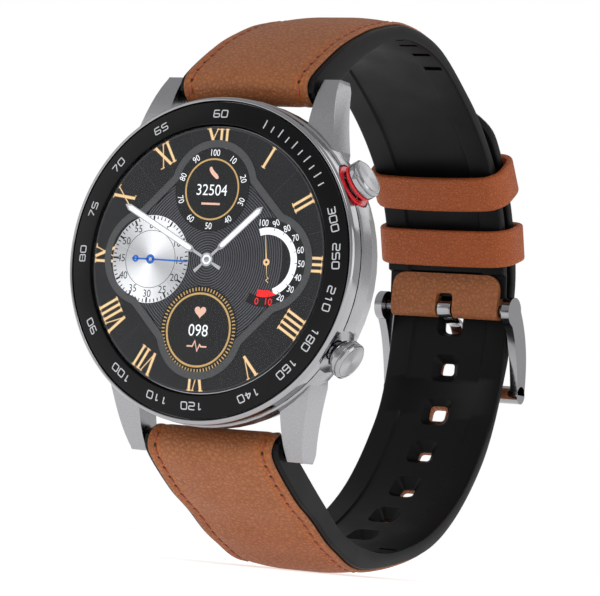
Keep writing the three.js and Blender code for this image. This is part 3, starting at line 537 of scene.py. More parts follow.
def ribbon(points, width, closed=False):
    """The outline or outlines of a line drawn with an even width."""
    line = [Vector(p) for p in points]
    line = [p for i, p in enumerate(line) if i == 0 or (p - line[i - 1]).length > 1e-4]
    sides = []
    for sign in (1, -1):
        edge = []
        for i, point in enumerate(line):
            before = line[i - 1] if closed or i else point
            after = line[(i + 1) % len(line)] if closed or i < len(line) - 1 else point
            first, second = (point - before), (after - point)
            first = first.normalized() if first.length > 1e-6 else second.normalized()
            second = second.normalized() if second.length > 1e-6 else first
            along = (first + second).normalized()
            spread = max(0.6, along.dot(second))
            edge.append(point + Vector((-along.y, along.x)) * (sign * width / 2 / spread))
        sides.append(edge)
    return sides if closed else [sides[0] + sides[1][::-1]]


class Path:
    """A smooth line in the (y, z) plane through a few points, measured along its length."""

    def __init__(self, points, steps=24):
        knots = [Vector(p) for p in points]
        last = len(knots) - 1
        self.samples = []
        for i in range(last):
            near = [knots[min(max(i + k, 0), last)] for k in (-1, 0, 1, 2)]
            self.samples += [self.between(near, step / steps) for step in range(steps)]
        self.samples.append(knots[-1])
        self.marks = [0.0]
        for a, b in zip(self.samples, self.samples[1:]):
            self.marks.append(self.marks[-1] + (b - a).length)
        self.length = self.marks[-1]

    @staticmethod
    def between(near, t):
        a, b, c, d = near
        start, end = (c - a) / 2, (d - b) / 2
        cubic = (b - c) * 2 + start + end
        square = (c - b) * 3 - start * 2 - end
        return cubic * t**3 + square * t**2 + start * t + b

    def at(self, share):
        place = min(max(share, 0), 1) * self.length
        low, high = 0, len(self.marks) - 1
        while high - low > 1:
            middle = (low + high) // 2
            low, high = (middle, high) if self.marks[middle] <= place else (low, middle)
        span = self.marks[high] - self.marks[low]
        return self.samples[low].lerp(self.samples[high], (place - self.marks[low]) / span if span else 0)

    def along(self, share):
        step = 0.15 / self.length
        return (self.at(share + step) - self.at(share - step)).normalized()

    def off(self, share, distance, side):
        """A point stood off the line, away from the wrist."""
        direction = self.along(share)
        return self.at(share) + Vector((-side * direction.y, side * direction.x)) * distance

    def share_at_height(self, height, start, end, steps=400):
        shares = [start + (end - start) * k / steps for k in range(steps + 1)]
        return min(shares, key=lambda share: abs(self.at(share).y - height))


def interpolate(stations, place):
    """The value at a place between (place, value) stations, eased."""
    if place <= stations[0][0]:
        return stations[0][1]
    for (start, low), (end, high) in zip(stations, stations[1:]):
        if place <= end:
            t = (place - start) / (end - start)
            return low + (high - low) * t * t * (3 - 2 * t)
    return stations[-1][1]


# ---------------------------------------------------------------- meshes
def closed_up(shape):
    """Merges doubled points and turns the faces outwards."""
    bmesh.ops.remove_doubles(shape, verts=shape.verts, dist=1e-4)
    bmesh.ops.dissolve_degenerate(shape, edges=shape.edges, dist=1e-5)
    bmesh.ops.recalc_face_normals(shape, faces=shape.faces)
    return shape


def turned(outline, sides=144):
    """A shape turned about Y from (radius, y) points: a plug if it starts on the axis, else a ring."""
    shape = bmesh.new()
    rows = []
    for k in range(sides):
        turn = 2 * math.pi * k / sides
        rows.append([shape.verts.new((r * math.cos(turn), y, r * math.sin(turn))) for r, y in outline])
    spans = len(outline) - (1 if abs(outline[0][0]) < 1e-9 else 0)
    for k in range(sides):
        here, after = rows[k], rows[(k + 1) % sides]
        for i in range(spans):
            j = (i + 1) % len(outline)
            shape.faces.new((here[i], here[j], after[j], after[i]))
    return closed_up(shape)


def lofted(sections, capped=True):
    """A skin through closed rows of points, with flat ends."""
    shape = bmesh.new()
    rows = [[shape.verts.new(point) for point in section] for section in sections]
    count = len(rows[0])
    for here, after in zip(rows, rows[1:] if capped else rows[1:] + rows[:1]):
        for i in range(count):
            shape.faces.new((here[i], here[(i + 1) % count], after[(i + 1) % count], after[i]))
    if capped:
        shape.faces.new(rows[0][::-1])
        shape.faces.new(rows[-1])
    return closed_up(shape)


def block(low, high):
    """A plain cutter from corner to corner."""
    shape = bmesh.new()
    bmesh.ops.create_cube(shape, size=1)
    centre = (Vector(low) + Vector(high)) / 2
    size = Vector(high) - Vector(low)
    shape.transform(Matrix.Translation(centre) @ Matrix.Diagonal((*size, 1)))
    return shape


def join(*shapes):
    """Several shapes as one mesh of loose parts."""
    whole = shapes[0]
    for part in shapes[1:]:
        spare = bpy.data.meshes.new("spare")
        part.to_mesh(spare)
        part.free()
        whole.from_mesh(spare)
        bpy.data.meshes.remove(spare)
    return whole


def loose_object(name, shape):
    mesh = bpy.data.meshes.new(name)
    shape.to_mesh(mesh)
    shape.free()
    obj = bpy.data.objects.new(name, mesh)
    bpy.context.scene.collection.objects.link(obj)
    return obj


def evaluated_mesh(obj):
    """A plain mesh of an object with its modifiers done, and the object removed."""
    bpy.context.view_layer.update()
    graph = bpy.context.evaluated_depsgraph_get()
    mesh = bpy.data.meshes.new_from_object(obj.evaluated_get(graph), depsgraph=graph)
    bpy.data.objects.remove(obj)
    return mesh


def combined(shape, tool, operation):
    """The exact join, cut or overlap of two shapes."""
    base, other = loose_object("base", shape), loose_object("tool", tool)
    change = base.modifiers.new("change", "BOOLEAN")
    change.operation = operation
    change.solver = "EXACT"
    change.use_self = operation == "DIFFERENCE"
    change.object = other
    mesh = evaluated_mesh(base)
    bpy.data.objects.remove(other)
    result = bmesh.new()
    result.from_mesh(mesh)
    bpy.data.meshes.remove(mesh)
    return result


def make_piece(name, shape, material, body=MAIN_BODY, stands_for=(), smooth=35):
    """Turns a shape in millimetres into a finished piece that rides on a body."""
    mesh = bpy.data.meshes.new(name)
    shape.to_mesh(mesh)
    shape.free()
    mesh.transform(Matrix.Scale(MM, 4))
    return place_piece(name, mesh, material, body, stands_for, smooth)


def place_piece(name, mesh, material, body=MAIN_BODY, stands_for=(), smooth=35):
    mesh.name = name
    mesh.materials.clear()
    mesh.materials.append(finish(material))
    mesh.polygons.foreach_set("use_smooth", [True] * len(mesh.polygons))
    mesh.set_sharp_from_angle(angle=math.radians(smooth))
    obj = bpy.data.objects.new(name, mesh)
    bpy.context.scene.collection.objects.link(obj)
    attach(obj, body)
    if stands_for:
        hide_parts(*stands_for)
    return obj


def edge_broken(obj, millimetres, degrees=38, segments=2):
    """Breaks the sharp edges of a piece with a narrow polished bevel."""
    bevel = obj.modifiers.new("edge break", "BEVEL")
    bevel.width = millimetres * MM
    bevel.segments = segments
    bevel.limit_method = "ANGLE"
    bevel.angle_limit = math.radians(degrees)
    bevel.harden_normals = True
    bevel.use_clamp_overlap = True
    return obj


def copied(node, tidy_angle=1.0):
    """A merged copy of a CAD node, in millimetres, with its flat faces whole."""
    shape = bmesh.new()
    shape.from_mesh(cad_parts[node].data)
    shape.transform(Matrix.Scale(1 / MM, 4))
    bmesh.ops.remove_doubles(shape, verts=shape.verts, dist=1e-3)
    limit = math.radians(tidy_angle)
    bmesh.ops.dissolve_limit(shape, angle_limit=limit, verts=shape.verts, edges=shape.edges)
    return shape


def mark_turn(obj, centre, across, up):
    """Keeps each corner's turn about an axis, from 0 to 1, for finishes that are brushed outwards."""
    mesh = obj.data
    marks = mesh.attributes.new("turn", "FLOAT", "CORNER")
    for face in mesh.polygons:
        spots = [mesh.vertices[v].co / MM - centre for v in face.vertices]
        turns = [(math.atan2(p.dot(across), p.dot(up)) / (2 * math.pi)) % 1 for p in spots]
        known = [t for t, p in zip(turns, spots) if math.hypot(p.dot(across), p.dot(up)) > 0.01]
        if max(known) - min(known) > 0.5:
            turns = [t + 1 if t < 0.5 else t for t in turns]
            known = [t + 1 if t < 0.5 else t for t in known]
        for corner, turn, p in zip(face.loop_indices, turns, spots):
            on_axis = math.hypot(p.dot(across), p.dot(up)) <= 0.01
            marks.data[corner].value = sum(known) / len(known) if on_axis else turn


# ---------------------------------------------------------------- what repeats, as Geometry Nodes
def geometry_tree(name, inputs):
    """A Geometry Nodes tree with named inputs, ready to be wired."""
    tree = bpy.data.node_groups.new(name, "GeometryNodeTree")
    tree.interface.new_socket("Geometry", in_out="OUTPUT", socket_type="NodeSocketGeometry")
    tree.interface.new_socket("Geometry", in_out="INPUT", socket_type="NodeSocketGeometry")
    for label, kind in inputs:
        tree.interface.new_socket(label, in_out="INPUT", socket_type=kind)
    graph = Graph(tree)
    source = graph.node("NodeGroupInput")
    return graph, {socket.name: socket for socket in source.outputs if socket.name}


def end_tree(graph, geometry, material):
    """Realises the copies, gives them their finish and ends the tree."""
    whole = graph.node("GeometryNodeRealizeInstances", None, {"Geometry": geometry})
    dressed = graph.node("GeometryNodeSetMaterial", None, {"Geometry": whole.outputs[0], "Material": material})
    output = graph.node("NodeGroupOutput")
    graph.tree.links.new(dressed.outputs[0], output.inputs["Geometry"])
    return graph.tree


def round_marks_tree():
    """Small blocks set evenly round the Y axis, each standing along its radius."""
    kinds = [("Count", "NodeSocketInt"), ("Start", "NodeSocketFloat"), ("Step", "NodeSocketFloat")]
    kinds += [("Middle", "NodeSocketVector"), ("Block", "NodeSocketVector"), ("Finish", "NodeSocketMaterial")]
    graph, given = geometry_tree("round marks", kinds)
    row = graph.node("GeometryNodeMeshLine", {"mode": "OFFSET"}, {"Count": given["Count"], "Offset": (0, 0, 0)})
    mark = graph.node("GeometryNodeMeshCube", None, {"Size": given["Block"]})
    set_out = graph.node("GeometryNodeTransform", None, {"Geometry": mark.outputs[0], "Translation": given["Middle"]})
    index = graph.number("GeometryNodeInputIndex", 0)
    turn = index * Number(graph.tree, given["Step"]) + Number(graph.tree, given["Start"])
    rotation = graph.node("ShaderNodeCombineXYZ", None, {"Y": turn}).outputs[0]
    sockets = {"Points": row.outputs[0], "Instance": set_out.outputs[0], "Rotation": rotation}
    copies = graph.node("GeometryNodeInstanceOnPoints", None, sockets)
    return end_tree(graph, copies.outputs[0], given["Finish"])


def engraved_rings_tree():
    """Fine raised rings about the Y axis, an even pitch apart."""
    kinds = [("Count", "NodeSocketInt"), ("Pitch", "NodeSocketFloat"), ("First", "NodeSocketFloat")]
    kinds += [("Wire", "NodeSocketFloat"), ("Height", "NodeSocketFloat"), ("Finish", "NodeSocketMaterial")]
    graph, given = geometry_tree("engraved rings", kinds)
    row = graph.node("GeometryNodeMeshLine", {"mode": "OFFSET"}, {"Count": given["Count"], "Offset": (0, 0, 0)})
    loop = graph.node("GeometryNodeCurvePrimitiveCircle", {"mode": "RADIUS"}, {"Resolution": 128, "Radius": 1.0})
    radius = graph.number("GeometryNodeInputIndex", 0) * Number(graph.tree, given["Pitch"])
    radius = radius + Number(graph.tree, given["First"])
    scale = graph.node("ShaderNodeCombineXYZ", None, {"X": radius, "Y": radius, "Z": radius}).outputs[0]
    upright = (math.pi / 2, 0, 0)
    sockets = {"Points": row.outputs[0], "Instance": loop.outputs[0], "Rotation": upright, "Scale": scale}
    copies = graph.node("GeometryNodeInstanceOnPoints", None, sockets)
    loops = graph.node("GeometryNodeRealizeInstances", None, {"Geometry": copies.outputs[0]})
    wire = graph.node("GeometryNodeCurvePrimitiveCircle", {"mode": "RADIUS"}, {"Resolution": 4, "Radius": given["Wire"]})
    rings = graph.node("GeometryNodeCurveToMesh", None, {"Curve": loops.outputs[0], "Profile Curve": wire.outputs[0]})
    lift = graph.node("ShaderNodeCombineXYZ", None, {"Y": given["Height"]}).outputs[0]
    placed = graph.node("GeometryNodeTransform", None, {"Geometry": rings.outputs[0], "Translation": lift})
    return end_tree(graph, placed.outputs[0], given["Finish"])


def stitches_tree():
    """Short rounded threads laid end to end along a line."""
    kinds = [("Pitch", "NodeSocketFloat"), ("Half size", "NodeSocketVector"), ("Finish", "NodeSocketMaterial")]
    graph, given = geometry_tree("stitches", kinds)
    line = graph.node("GeometryNodeMeshToCurve", None, {"Mesh": given["Geometry"]})
    spots = graph.node("GeometryNodeCurveToPoints", {"mode": "LENGTH"}, {"Curve": line.outputs[0], "Length": given["Pitch"]})
    bead = graph.node("GeometryNodeMeshUVSphere", None, {"Segments": 8, "Rings": 6, "Radius": 1.0})
    sockets = {"Points": spots.outputs["Points"], "Instance": bead.outputs[0]}
    sockets |= {"Rotation": spots.outputs["Rotation"], "Scale": given["Half size"]}
    copies = graph.node("GeometryNodeInstanceOnPoints", None, sockets)
    return end_tree(graph, copies.outputs[0], given["Finish"])


TREES = {"round marks": round_marks_tree, "engraved rings": engraved_rings_tree, "stitches": stitches_tree}


def grown(tree_name, values, lines=None):
    """Runs a tree once with its inputs set, and gives back the plain mesh. Lines are rows of points in metres."""
    tree = bpy.data.node_groups.get(tree_name) or TREES[tree_name]()
    carrier_mesh = bpy.data.meshes.new("carrier")
    rows = lines or []
    points = [point for row in rows for point in row]
    starts = [sum(len(row) for row in rows[:i]) for i in range(len(rows))]
    edges = [(s + k, s + k + 1) for s, row in zip(starts, rows) for k in range(len(row) - 1)]
    carrier_mesh.from_pydata(points, edges, [])
    carrier = bpy.data.objects.new("carrier", carrier_mesh)
    bpy.context.scene.collection.objects.link(carrier)
    change = carrier.modifiers.new(tree_name, "NODES")
    change.node_group = tree
    keys = {i.name: i.identifier for i in tree.interface.items_tree if i.in_out == "INPUT"}
    for label, value in values.items():
        change[keys[label]] = value
    return evaluated_mesh(carrier)


# ---------------------------------------------------------------- flat work on the dial and bezel
TO_DIAL = Matrix.Rotation(math.radians(90), 4, "X")


class Layer:
    """Thin flat shapes of one colour. They are drawn in (x, z) seen from the front, at a depth in y."""

    def __init__(self, y, thickness=0.03):
        self.y = y
        self.thickness = thickness
        self.shape = bmesh.new()

    def take(self, data, matrix=None):
        """Adds a flat curve or text, made into a mesh first and placed after."""
        obj = bpy.data.objects.new("flat", data)
        bpy.context.scene.collection.objects.link(obj)
        mesh = evaluated_mesh(obj)
        part = bmesh.new()
        part.from_mesh(mesh)
        bpy.data.meshes.remove(mesh)
        bpy.data.curves.remove(data)
        bmesh.ops.remove_doubles(part, verts=part.verts, dist=1e-5)
        if part.verts and matrix is not None:
            matrix = matrix(part) if callable(matrix) else matrix
            part.transform(matrix)
        bmesh.ops.recalc_face_normals(part, faces=part.faces)
        self.shape = join(self.shape, part)

    def outline(self, *loops):
        """A filled outline. Further loops are holes in it."""
        data = bpy.data.curves.new("outline", "CURVE")
        data.dimensions = "2D"
        data.fill_mode = "BOTH"
        data.extrude = self.thickness / 2
        for loop in loops:
            spline = data.splines.new("POLY")
            spline.points.add(len(loop) - 1)
            for point, place in zip(spline.points, loop):
                point.co = (place[0], place[1], 0, 1)
            spline.use_cyclic_u = True
        self.take(data)

    def disc(self, centre, radius, sides=72):
        self.outline(circle(centre, radius, sides))

    def ring(self, centre, inner, outer, sides=96):
        self.outline(circle(centre, outer, sides), circle(centre, inner, sides))

    def arc(self, centre, inner, outer, start, sweep, sides=48):
        self.outline(circle(centre, outer, sides, start, sweep) + circle(centre, inner, sides, start, sweep)[::-1])

    def line(self, points, width, closed=False):
        self.outline(*ribbon(points, width, closed))

    def text(self, words, height, centre, turn=0.0, width=1.0):
        """Upright words of a cap height, centred on a point and turned clockwise."""
        data = bpy.data.curves.new("text", "FONT")
        data.body = words
        data.extrude = self.thickness / 2
        data.resolution_u = 4

        def placing(part):
            xs = [v.co.x for v in part.verts]
            ys = [v.co.y for v in part.verts]
            scale = height / (max(ys) - min(ys))
            middle = Vector(((max(xs) + min(xs)) / 2, (max(ys) + min(ys)) / 2, 0))
            size = Matrix.Diagonal((scale * width, scale, 1, 1)) @ Matrix.Translation(-middle)
            turned_by = Matrix.Rotation(math.radians(-turn), 4, "Z")
            return Matrix.Translation((centre[0], centre[1], 0)) @ turned_by @ size

        self.take(data, placing)

    def done(self):
        self.shape.transform(Matrix.Translation((0, self.y, 0)) @ TO_DIAL)
        return self.shape


# ---------------------------------------------------------------- the dial
HUB = (0.0, 0.0)
DIAL_RADIUS = GLASS_RADIUS - 0.05
GLASS_SKIN = 0.34  # the glass is bonded to the display, so the picture shows right under its face
DIAL_BASE_Y = FRONT_Y + GLASS_SKIN + 0.1
LAYER_STEP = 0.009
FLOOR_Y = DIAL_BASE_Y + 0.08
RINGS_RADIUS = 12.6
PANEL_RADIUS = box("display_panel")[1].x
STEPS_DIAL = Vector((-0.25, 9.85))
PULSE_DIAL = Vector((-0.22, -9.87))
SECONDS_DIAL = Vector((-9.2, -0.32))
GAUGE = Vector((9.6, 0.02))
LOBE_RADIUS = 6.95
LOBE_CENTRE = 9.85
SIDE_DISTANCE = 12.93
RIDGE_WIDTH = 1.05
NUMERAL_OUTER = 18.4
GLYPH_WIDTHS = {"I": 0.88, "V": 1.62, "X": 1.75}


def dial_y(layer):
    """Depth of a layer of the dial: higher layers are nearer the glass."""
    return DIAL_BASE_Y - layer * LAYER_STEP


def polar(radius, degrees, centre=HUB):
    turn = math.radians(degrees)
    return Vector((centre[0] + radius * math.sin(turn), centre[1] + radius * math.cos(turn)))


def four_lobes(inset, sides=240):
    """The dial's inner border: four round lobes joined by straight slanted sides."""
    radius = LOBE_RADIUS - inset
    side = SIDE_DISTANCE - inset
    points = []
    for k in range(sides):
        degrees = 360 * k / sides
        off_axis = math.radians((degrees + 45) % 90 - 45)
        reach_in = radius**2 - (LOBE_CENTRE * math.sin(off_axis)) ** 2
        lobe = LOBE_CENTRE * math.cos(off_axis) + math.sqrt(reach_in) if reach_in > 0 else 0
        slant = side / math.cos(math.pi / 4 - abs(off_axis))
        points.append(polar(lobe if lobe > slant or abs(off_axis) < 0.45 else slant, degrees))
    return points


def glyph(letter):
    """Strokes of a Roman figure one unit tall: (points, width) with thick stems and thin hairs."""
    half = GLYPH_WIDTHS[letter] / 2 - 0.16
    serif = 0.07
    if letter == "I":
        strokes = [([(0, -0.5), (0, 0.5)], 0.13)]
        ends = [(0, 0.5 - serif / 2, 0.11), (0, serif / 2 - 0.5, 0.11)]
    elif letter == "V":
        strokes = [([(-0.2, 0.5), (0.02, -0.5)], 0.14), ([(0.21, 0.5), (0.0, -0.5)], 0.06)]
        ends = [(-0.2, 0.5 - serif / 2, 0.11), (0.21, 0.5 - serif / 2, 0.08)]
    else:
        strokes = [([(-0.21, 0.5), (0.21, -0.5)], 0.14), ([(0.21, 0.5), (-0.21, -0.5)], 0.06)]
        ends = [(x, y, 0.1) for x in (-half / 3, half / 3) for y in (0.5 - serif / 2, serif / 2 - 0.5)]
    for x, y, reach_out in ends:
        strokes.append(([(x - reach_out, y), (x + reach_out, y)], serif * 0.75))
    return strokes


def roman(number):
    figures = [(10, "X"), (9, "IX"), (5, "V"), (1, "I")]
    if number == 4:
        return "IIII"
    words = ""
    for value, letters in figures:
        while number >= value:
            words += letters
            number -= value
    return words


def draw_numerals(layer, spread):
    tall = mm(sizes().numeral_height)
    for hour in range(1, 13):
        letters = roman(hour)
        total = sum(GLYPH_WIDTHS[letter] for letter in letters)
        place = -total / 2
        for letter in letters:
            middle = place + GLYPH_WIDTHS[letter] / 2
            place += GLYPH_WIDTHS[letter]
            for points, width in glyph(letter):
                line = [(middle + x * tall, NUMERAL_OUTER - tall / 2 + y * tall) for x, y in points]
                turn = math.radians(-30 * hour)
                spin = Matrix.Rotation(turn, 2)
                layer.line([spin @ Vector(p) for p in line], width * tall + spread)


def draw_hand(body, edge, tip_degrees, tip_radius, neck_radius):
    """A hand with a thin neck, a broad lit blade and a short tail."""
    spin = Matrix.Rotation(math.radians(-tip_degrees), 2)

    def blade(half, start, shoulder, tip):
        shape = [(-half * 0.55, start), (-half, start + 0.5), (-half, shoulder), (0, tip)]
        return [spin @ Vector(p) for p in shape + [(-x, y) for x, y in shape[2::-1]]]

    edge.outline([spin @ Vector(p) for p in ((-0.2, 0), (-0.2, neck_radius + 0.3), (0.2, neck_radius + 0.3), (0.2, 0))])
    edge.outline(blade(0.47, neck_radius - 0.25, tip_radius - 0.7, tip_radius + 0.15))
    body.outline(blade(0.31, neck_radius + 0.15, tip_radius - 0.95, tip_radius - 0.35))
    tail = [(-0.26, -2.55), (0.26, -2.55), (0.14, -0.6), (-0.14, -0.6)]
    edge.outline([spin @ Vector(p) for p in tail])


def heart(centre, size):
    points = []
    for k in range(40):
        t = 2 * math.pi * k / 40
        x = 16 * math.sin(t) ** 3
        y = 13 * math.cos(t) - 5 * math.cos(2 * t) - 2 * math.cos(3 * t) - math.cos(4 * t)
        points.append(Vector((centre[0] + x * size / 32, centre[1] + y * size / 32)))
    return points


def shoe(centre, size):
    """A plain walking shoe seen from the side, toe down to the right."""
    sole = [(-0.5, 0.5), (-0.28, 0.62), (-0.12, 0.34), (0.1, 0.12), (0.42, -0.12), (0.56, -0.38)]
    sole += [(0.46, -0.52), (0.26, -0.5), (-0.2, -0.12), (-0.46, 0.2)]
    return fillet([Vector(centre) + Vector(p) * size for p in sole], 0.14 * size, 3)


class SMARTWATCH_OT_dial(bpy.types.Operator):
    """Lays the lit dial under the glass: numerals, small dials, hands and engine turning"""

    bl_idname = "smartwatch.dial"
    bl_label = "Dial"

    def execute(self, context):
        back_y = box("display_panel")[1].y
        rim_y = GLASS_BACK_Y + 0.17
        outline = [(0, FLOOR_Y), (RINGS_RADIUS + 0.3, FLOOR_Y), (RINGS_RADIUS + 0.3, dial_y(0)), (DIAL_RADIUS, dial_y(0))]
        outline += [(DIAL_RADIUS, rim_y), (PANEL_RADIUS, rim_y), (PANEL_RADIUS, back_y), (0, back_y)]
        plate = turned(outline, 96)
        make_piece("display_plate", plate, "dial black", stands_for=["display_panel"])
        self.engine_turning()
        self.border()
        self.small_dials()
        self.gauge()
        self.figures()
        self.hands()
        return {"FINISHED"}

    def show(self, name, layer, material):
        make_piece(name, layer.done(), material, smooth=20)

    def engine_turning(self):
        pitch = mm(sizes().ring_pitch)
        wire = pitch / 3
        values = {"Count": int(RINGS_RADIUS / pitch) - 1, "Pitch": pitch * MM, "First": pitch * MM, "Wire": wire * MM}
        values |= {"Height": (dial_y(1) + wire) * MM, "Finish": finish("dial ring")}
        place_piece("engraved_rings", grown("engraved rings", values), "dial ring", smooth=60)

    def border(self):
        plate = Layer(dial_y(2), 0.006)
        plate.outline(circle(HUB, DIAL_RADIUS - 0.25, 120), four_lobes(0.3))
        self.show("numeral_plate", plate, "dial plate")
        shade = Layer(dial_y(3), 0.004)
        shade.outline(four_lobes(-0.22), four_lobes(0.5))
        shade.outline(four_lobes(RIDGE_WIDTH - 0.3), four_lobes(RIDGE_WIDTH + 0.16))
        for hour in range(12):
            degrees = 30 * hour + 15
            shade.line([polar(13.2, degrees), polar(DIAL_RADIUS - 0.3, degrees)], 0.16)
        self.show("dial_shadow_lines", shade, "dial cut")
        gleam = Layer(dial_y(3), 0.004)
        for hour in range(12):
            degrees = 30 * hour + 15.55
            gleam.line([polar(13.4, degrees), polar(DIAL_RADIUS - 0.3, degrees)], 0.07)
        gleam.ring(HUB, DIAL_RADIUS - 0.3, DIAL_RADIUS - 0.12, 120)
        self.show("dial_edge_lines", gleam, "dial edge")
        ridge = Layer(dial_y(4.4), 0.02)
        ridge.outline(four_lobes(0), four_lobes(RIDGE_WIDTH))
        self.show("dial_ridge", ridge, "dial ridge")
        edges = Layer(dial_y(3), 0.006)
        draw_numerals(edges, 0.1)
        self.show("roman_numeral_edges", edges, "dial bronze")
        figures = Layer(dial_y(3.8), 0.006)
        draw_numerals(figures, -0.07)
        self.show("roman_numerals", figures, "dial gold")

    def small_dials(self):
        discs = Layer(dial_y(4.6), 0.01)
        discs.disc(STEPS_DIAL, 5.95)
        discs.disc(PULSE_DIAL, 6.15)
        self.show("small_dial_discs", discs, "dial cut")
        faces = Layer(dial_y(5), 0.006)
        faces.disc(STEPS_DIAL, 4.2)
        faces.disc(PULSE_DIAL, 5.0)
        self.show("small_dial_faces", faces, "dial black")
        gold = Layer(dial_y(5.4), 0.008)
        gold.ring(STEPS_DIAL, 4.12, 4.36)
        gold.ring(PULSE_DIAL, 4.95, 5.24)
        self.show("small_dial_rings", gold, "dial gold line")
        step = 360 / 72
        values = {"Count": 72, "Start": 0.0, "Step": math.radians(step), "Middle": (0, 0, 5.72 * MM)}
        values |= {"Block": (0.17 * MM, 0.006 * MM, 0.5 * MM), "Finish": finish("dial gold line")}
        marks = grown("round marks", values)
        marks.transform(Matrix.Translation((PULSE_DIAL.x * MM, dial_y(5) * MM, PULSE_DIAL.y * MM)))
        place_piece("pulse_dial_marks", marks, "dial gold line")

        plate = turned([(0, dial_y(5)), (6.22, dial_y(5)), (6.22, dial_y(4)), (0, dial_y(4))], 120)
        plate.transform(Matrix.Translation((SECONDS_DIAL.x, 0, SECONDS_DIAL.y)))
        piece = make_piece("seconds_dial", plate, "silver plate")
        mark_turn(piece, Vector((SECONDS_DIAL.x, 0, SECONDS_DIAL.y)), Vector((1, 0, 0)), Vector((0, 0, 1)))
        self.seconds_marks()

    def seconds_marks(self):
        for name, count, size, middle in (("fine", 60, (0.15, 0.45), 5.9), ("main", 12, (0.26, 0.75), 5.78)):
            values = {"Count": count, "Start": 0.0, "Step": 2 * math.pi / count, "Middle": (0, 0, middle * MM)}
            values |= {"Block": (size[0] * MM, 0.006 * MM, size[1] * MM), "Finish": finish("dial cut")}
            marks = grown("round marks", values)
            marks.transform(Matrix.Translation((SECONDS_DIAL.x * MM, dial_y(5.5) * MM, SECONDS_DIAL.y * MM)))
            place_piece(f"seconds_{name}_marks", marks, "dial cut")
        numbers = Layer(dial_y(5.5), 0.006)
        for minute in range(5, 61, 5):
            numbers.text(str(minute), 1.05, polar(4.85, minute * 6, SECONDS_DIAL), 0, 0.9)
        numbers.ring(SECONDS_DIAL, 4.03, 4.1)
        self.show("seconds_numbers", numbers, "dial cut")
        hand = Layer(dial_y(6), 0.008)
        hand.line([polar(3.0, 270, SECONDS_DIAL), SECONDS_DIAL], 0.26)
        hand.line([SECONDS_DIAL, polar(6.0, 91, SECONDS_DIAL)], 0.24)
        hand.ring(polar(2.45, 270, SECONDS_DIAL), 0.22, 0.5, 32)
        hand.disc(SECONDS_DIAL, 0.68, 40)
        self.show("seconds_hand", hand, "dial blue")
        cap = Layer(dial_y(6.4), 0.006)
        cap.disc(SECONDS_DIAL, 0.26, 32)
        self.show("seconds_hand_cap", cap, "dial grey")

    def gauge(self):
        track = Layer(dial_y(4.6), 0.01)
        track.arc(GAUGE, 4.85, 6.2, -16, 222)
        self.show("gauge_track", track, "dial cut")
        scale = Layer(dial_y(5), 0.008)
        scale.arc(GAUGE, 3.82, 4.82, -20, 180)
        self.show("gauge_scale", scale, "dial white")
        red = Layer(dial_y(5.4), 0.008)
        wedge = circle(GAUGE, 4.84, 16, 155, 38) + circle(GAUGE, 3.9, 8, 170, 23)[::-1]
        red.outline(wedge)
        for value in (0, 10):
            red.text(str(value), 0.95, polar(5.52, 190 - 2 * value, GAUGE), 4)
        self.show("gauge_red", red, "dial red")
        notches = Layer(dial_y(5.8), 0.006)
        for value in range(10, 100, 10):
            degrees = 190 - 2 * value
            notches.line([polar(4.45, degrees, GAUGE), polar(4.84, degrees, GAUGE)], 0.08)
        self.show("gauge_notches", notches, "dial cut")
        needle = Layer(dial_y(6), 0.008)
        needle.outline([polar(5.7, -8, GAUGE), polar(0.09, 82, GAUGE), polar(2.2, 172, GAUGE), polar(0.09, -98, GAUGE)])
        curl = [polar(2.0, 172, GAUGE), polar(2.3, 166, GAUGE), polar(2.5, 176, GAUGE), polar(2.9, 168, GAUGE)]
        needle.line(curl, 0.1)
        needle.disc(GAUGE, 0.5, 40)
        self.show("gauge_needle", needle, "dial gold")
        cap = Layer(dial_y(6.4), 0.006)
        cap.disc(GAUGE, 0.18, 24)
        self.show("gauge_cap", cap, "dial cut")

    def figures(self):
        white = Layer(dial_y(5.6), 0.008)
        for value in range(10, 101, 10):
            degrees = value * 3.6
            upright = degrees % 360 if degrees % 360 < 91 or degrees > 269 else degrees - 180
            white.text(str(value), 0.92, polar(5.15, degrees, STEPS_DIAL), upright, 0.86)
        for value in range(20, 101, 10):
            degrees = 190 - 2 * value
            white.text(str(value), 0.93, polar(5.52, degrees, GAUGE), (degrees - 90) * 0.35 if value < 100 else 0, 0.82)
        white.text("32504", 1.55, STEPS_DIAL + Vector((0, -0.1)), 0, 0.92)
        white.text("098", 1.65, PULSE_DIAL + Vector((0, -0.05)), 0, 0.92)
        self.show("dial_numbers", white, "dial white")
        rose = Layer(dial_y(5.6), 0.008)
        rose.outline(shoe(STEPS_DIAL + Vector((0.05, 2.25)), 1.55))
        rose.outline(heart(PULSE_DIAL + Vector((0.05, 2.55)), 1.85))
        base = STEPS_DIAL + Vector((0, -2.05))
        rose.line([base + Vector((-1.5, 0)), base + Vector((1.5, 0))], 0.3)
        pulse = [(-1.6, 0), (-0.7, 0), (-0.35, 0.75), (0.1, -0.65), (0.45, 0.25), (0.7, 0), (1.6, 0)]
        low = PULSE_DIAL + Vector((0, -2.3))
        rose.line([low + Vector(p) for p in pulse], 0.22)
        self.show("dial_signs", rose, "dial rose")

    def hands(self):
        edge = Layer(dial_y(6.8), 0.008)
        body = Layer(dial_y(7.3), 0.008)
        draw_hand(body, edge, 47.0, 11.1, 2.6)
        draw_hand(body, edge, -62.8, 15.85, 2.9)
        edge.disc(HUB, 0.95, 48)
        body.ring(HUB, 0.42, 0.68, 48)
        self.show("hand_edges", edge, "dial grey")
        self.show("hand_bodies", body, "dial white")


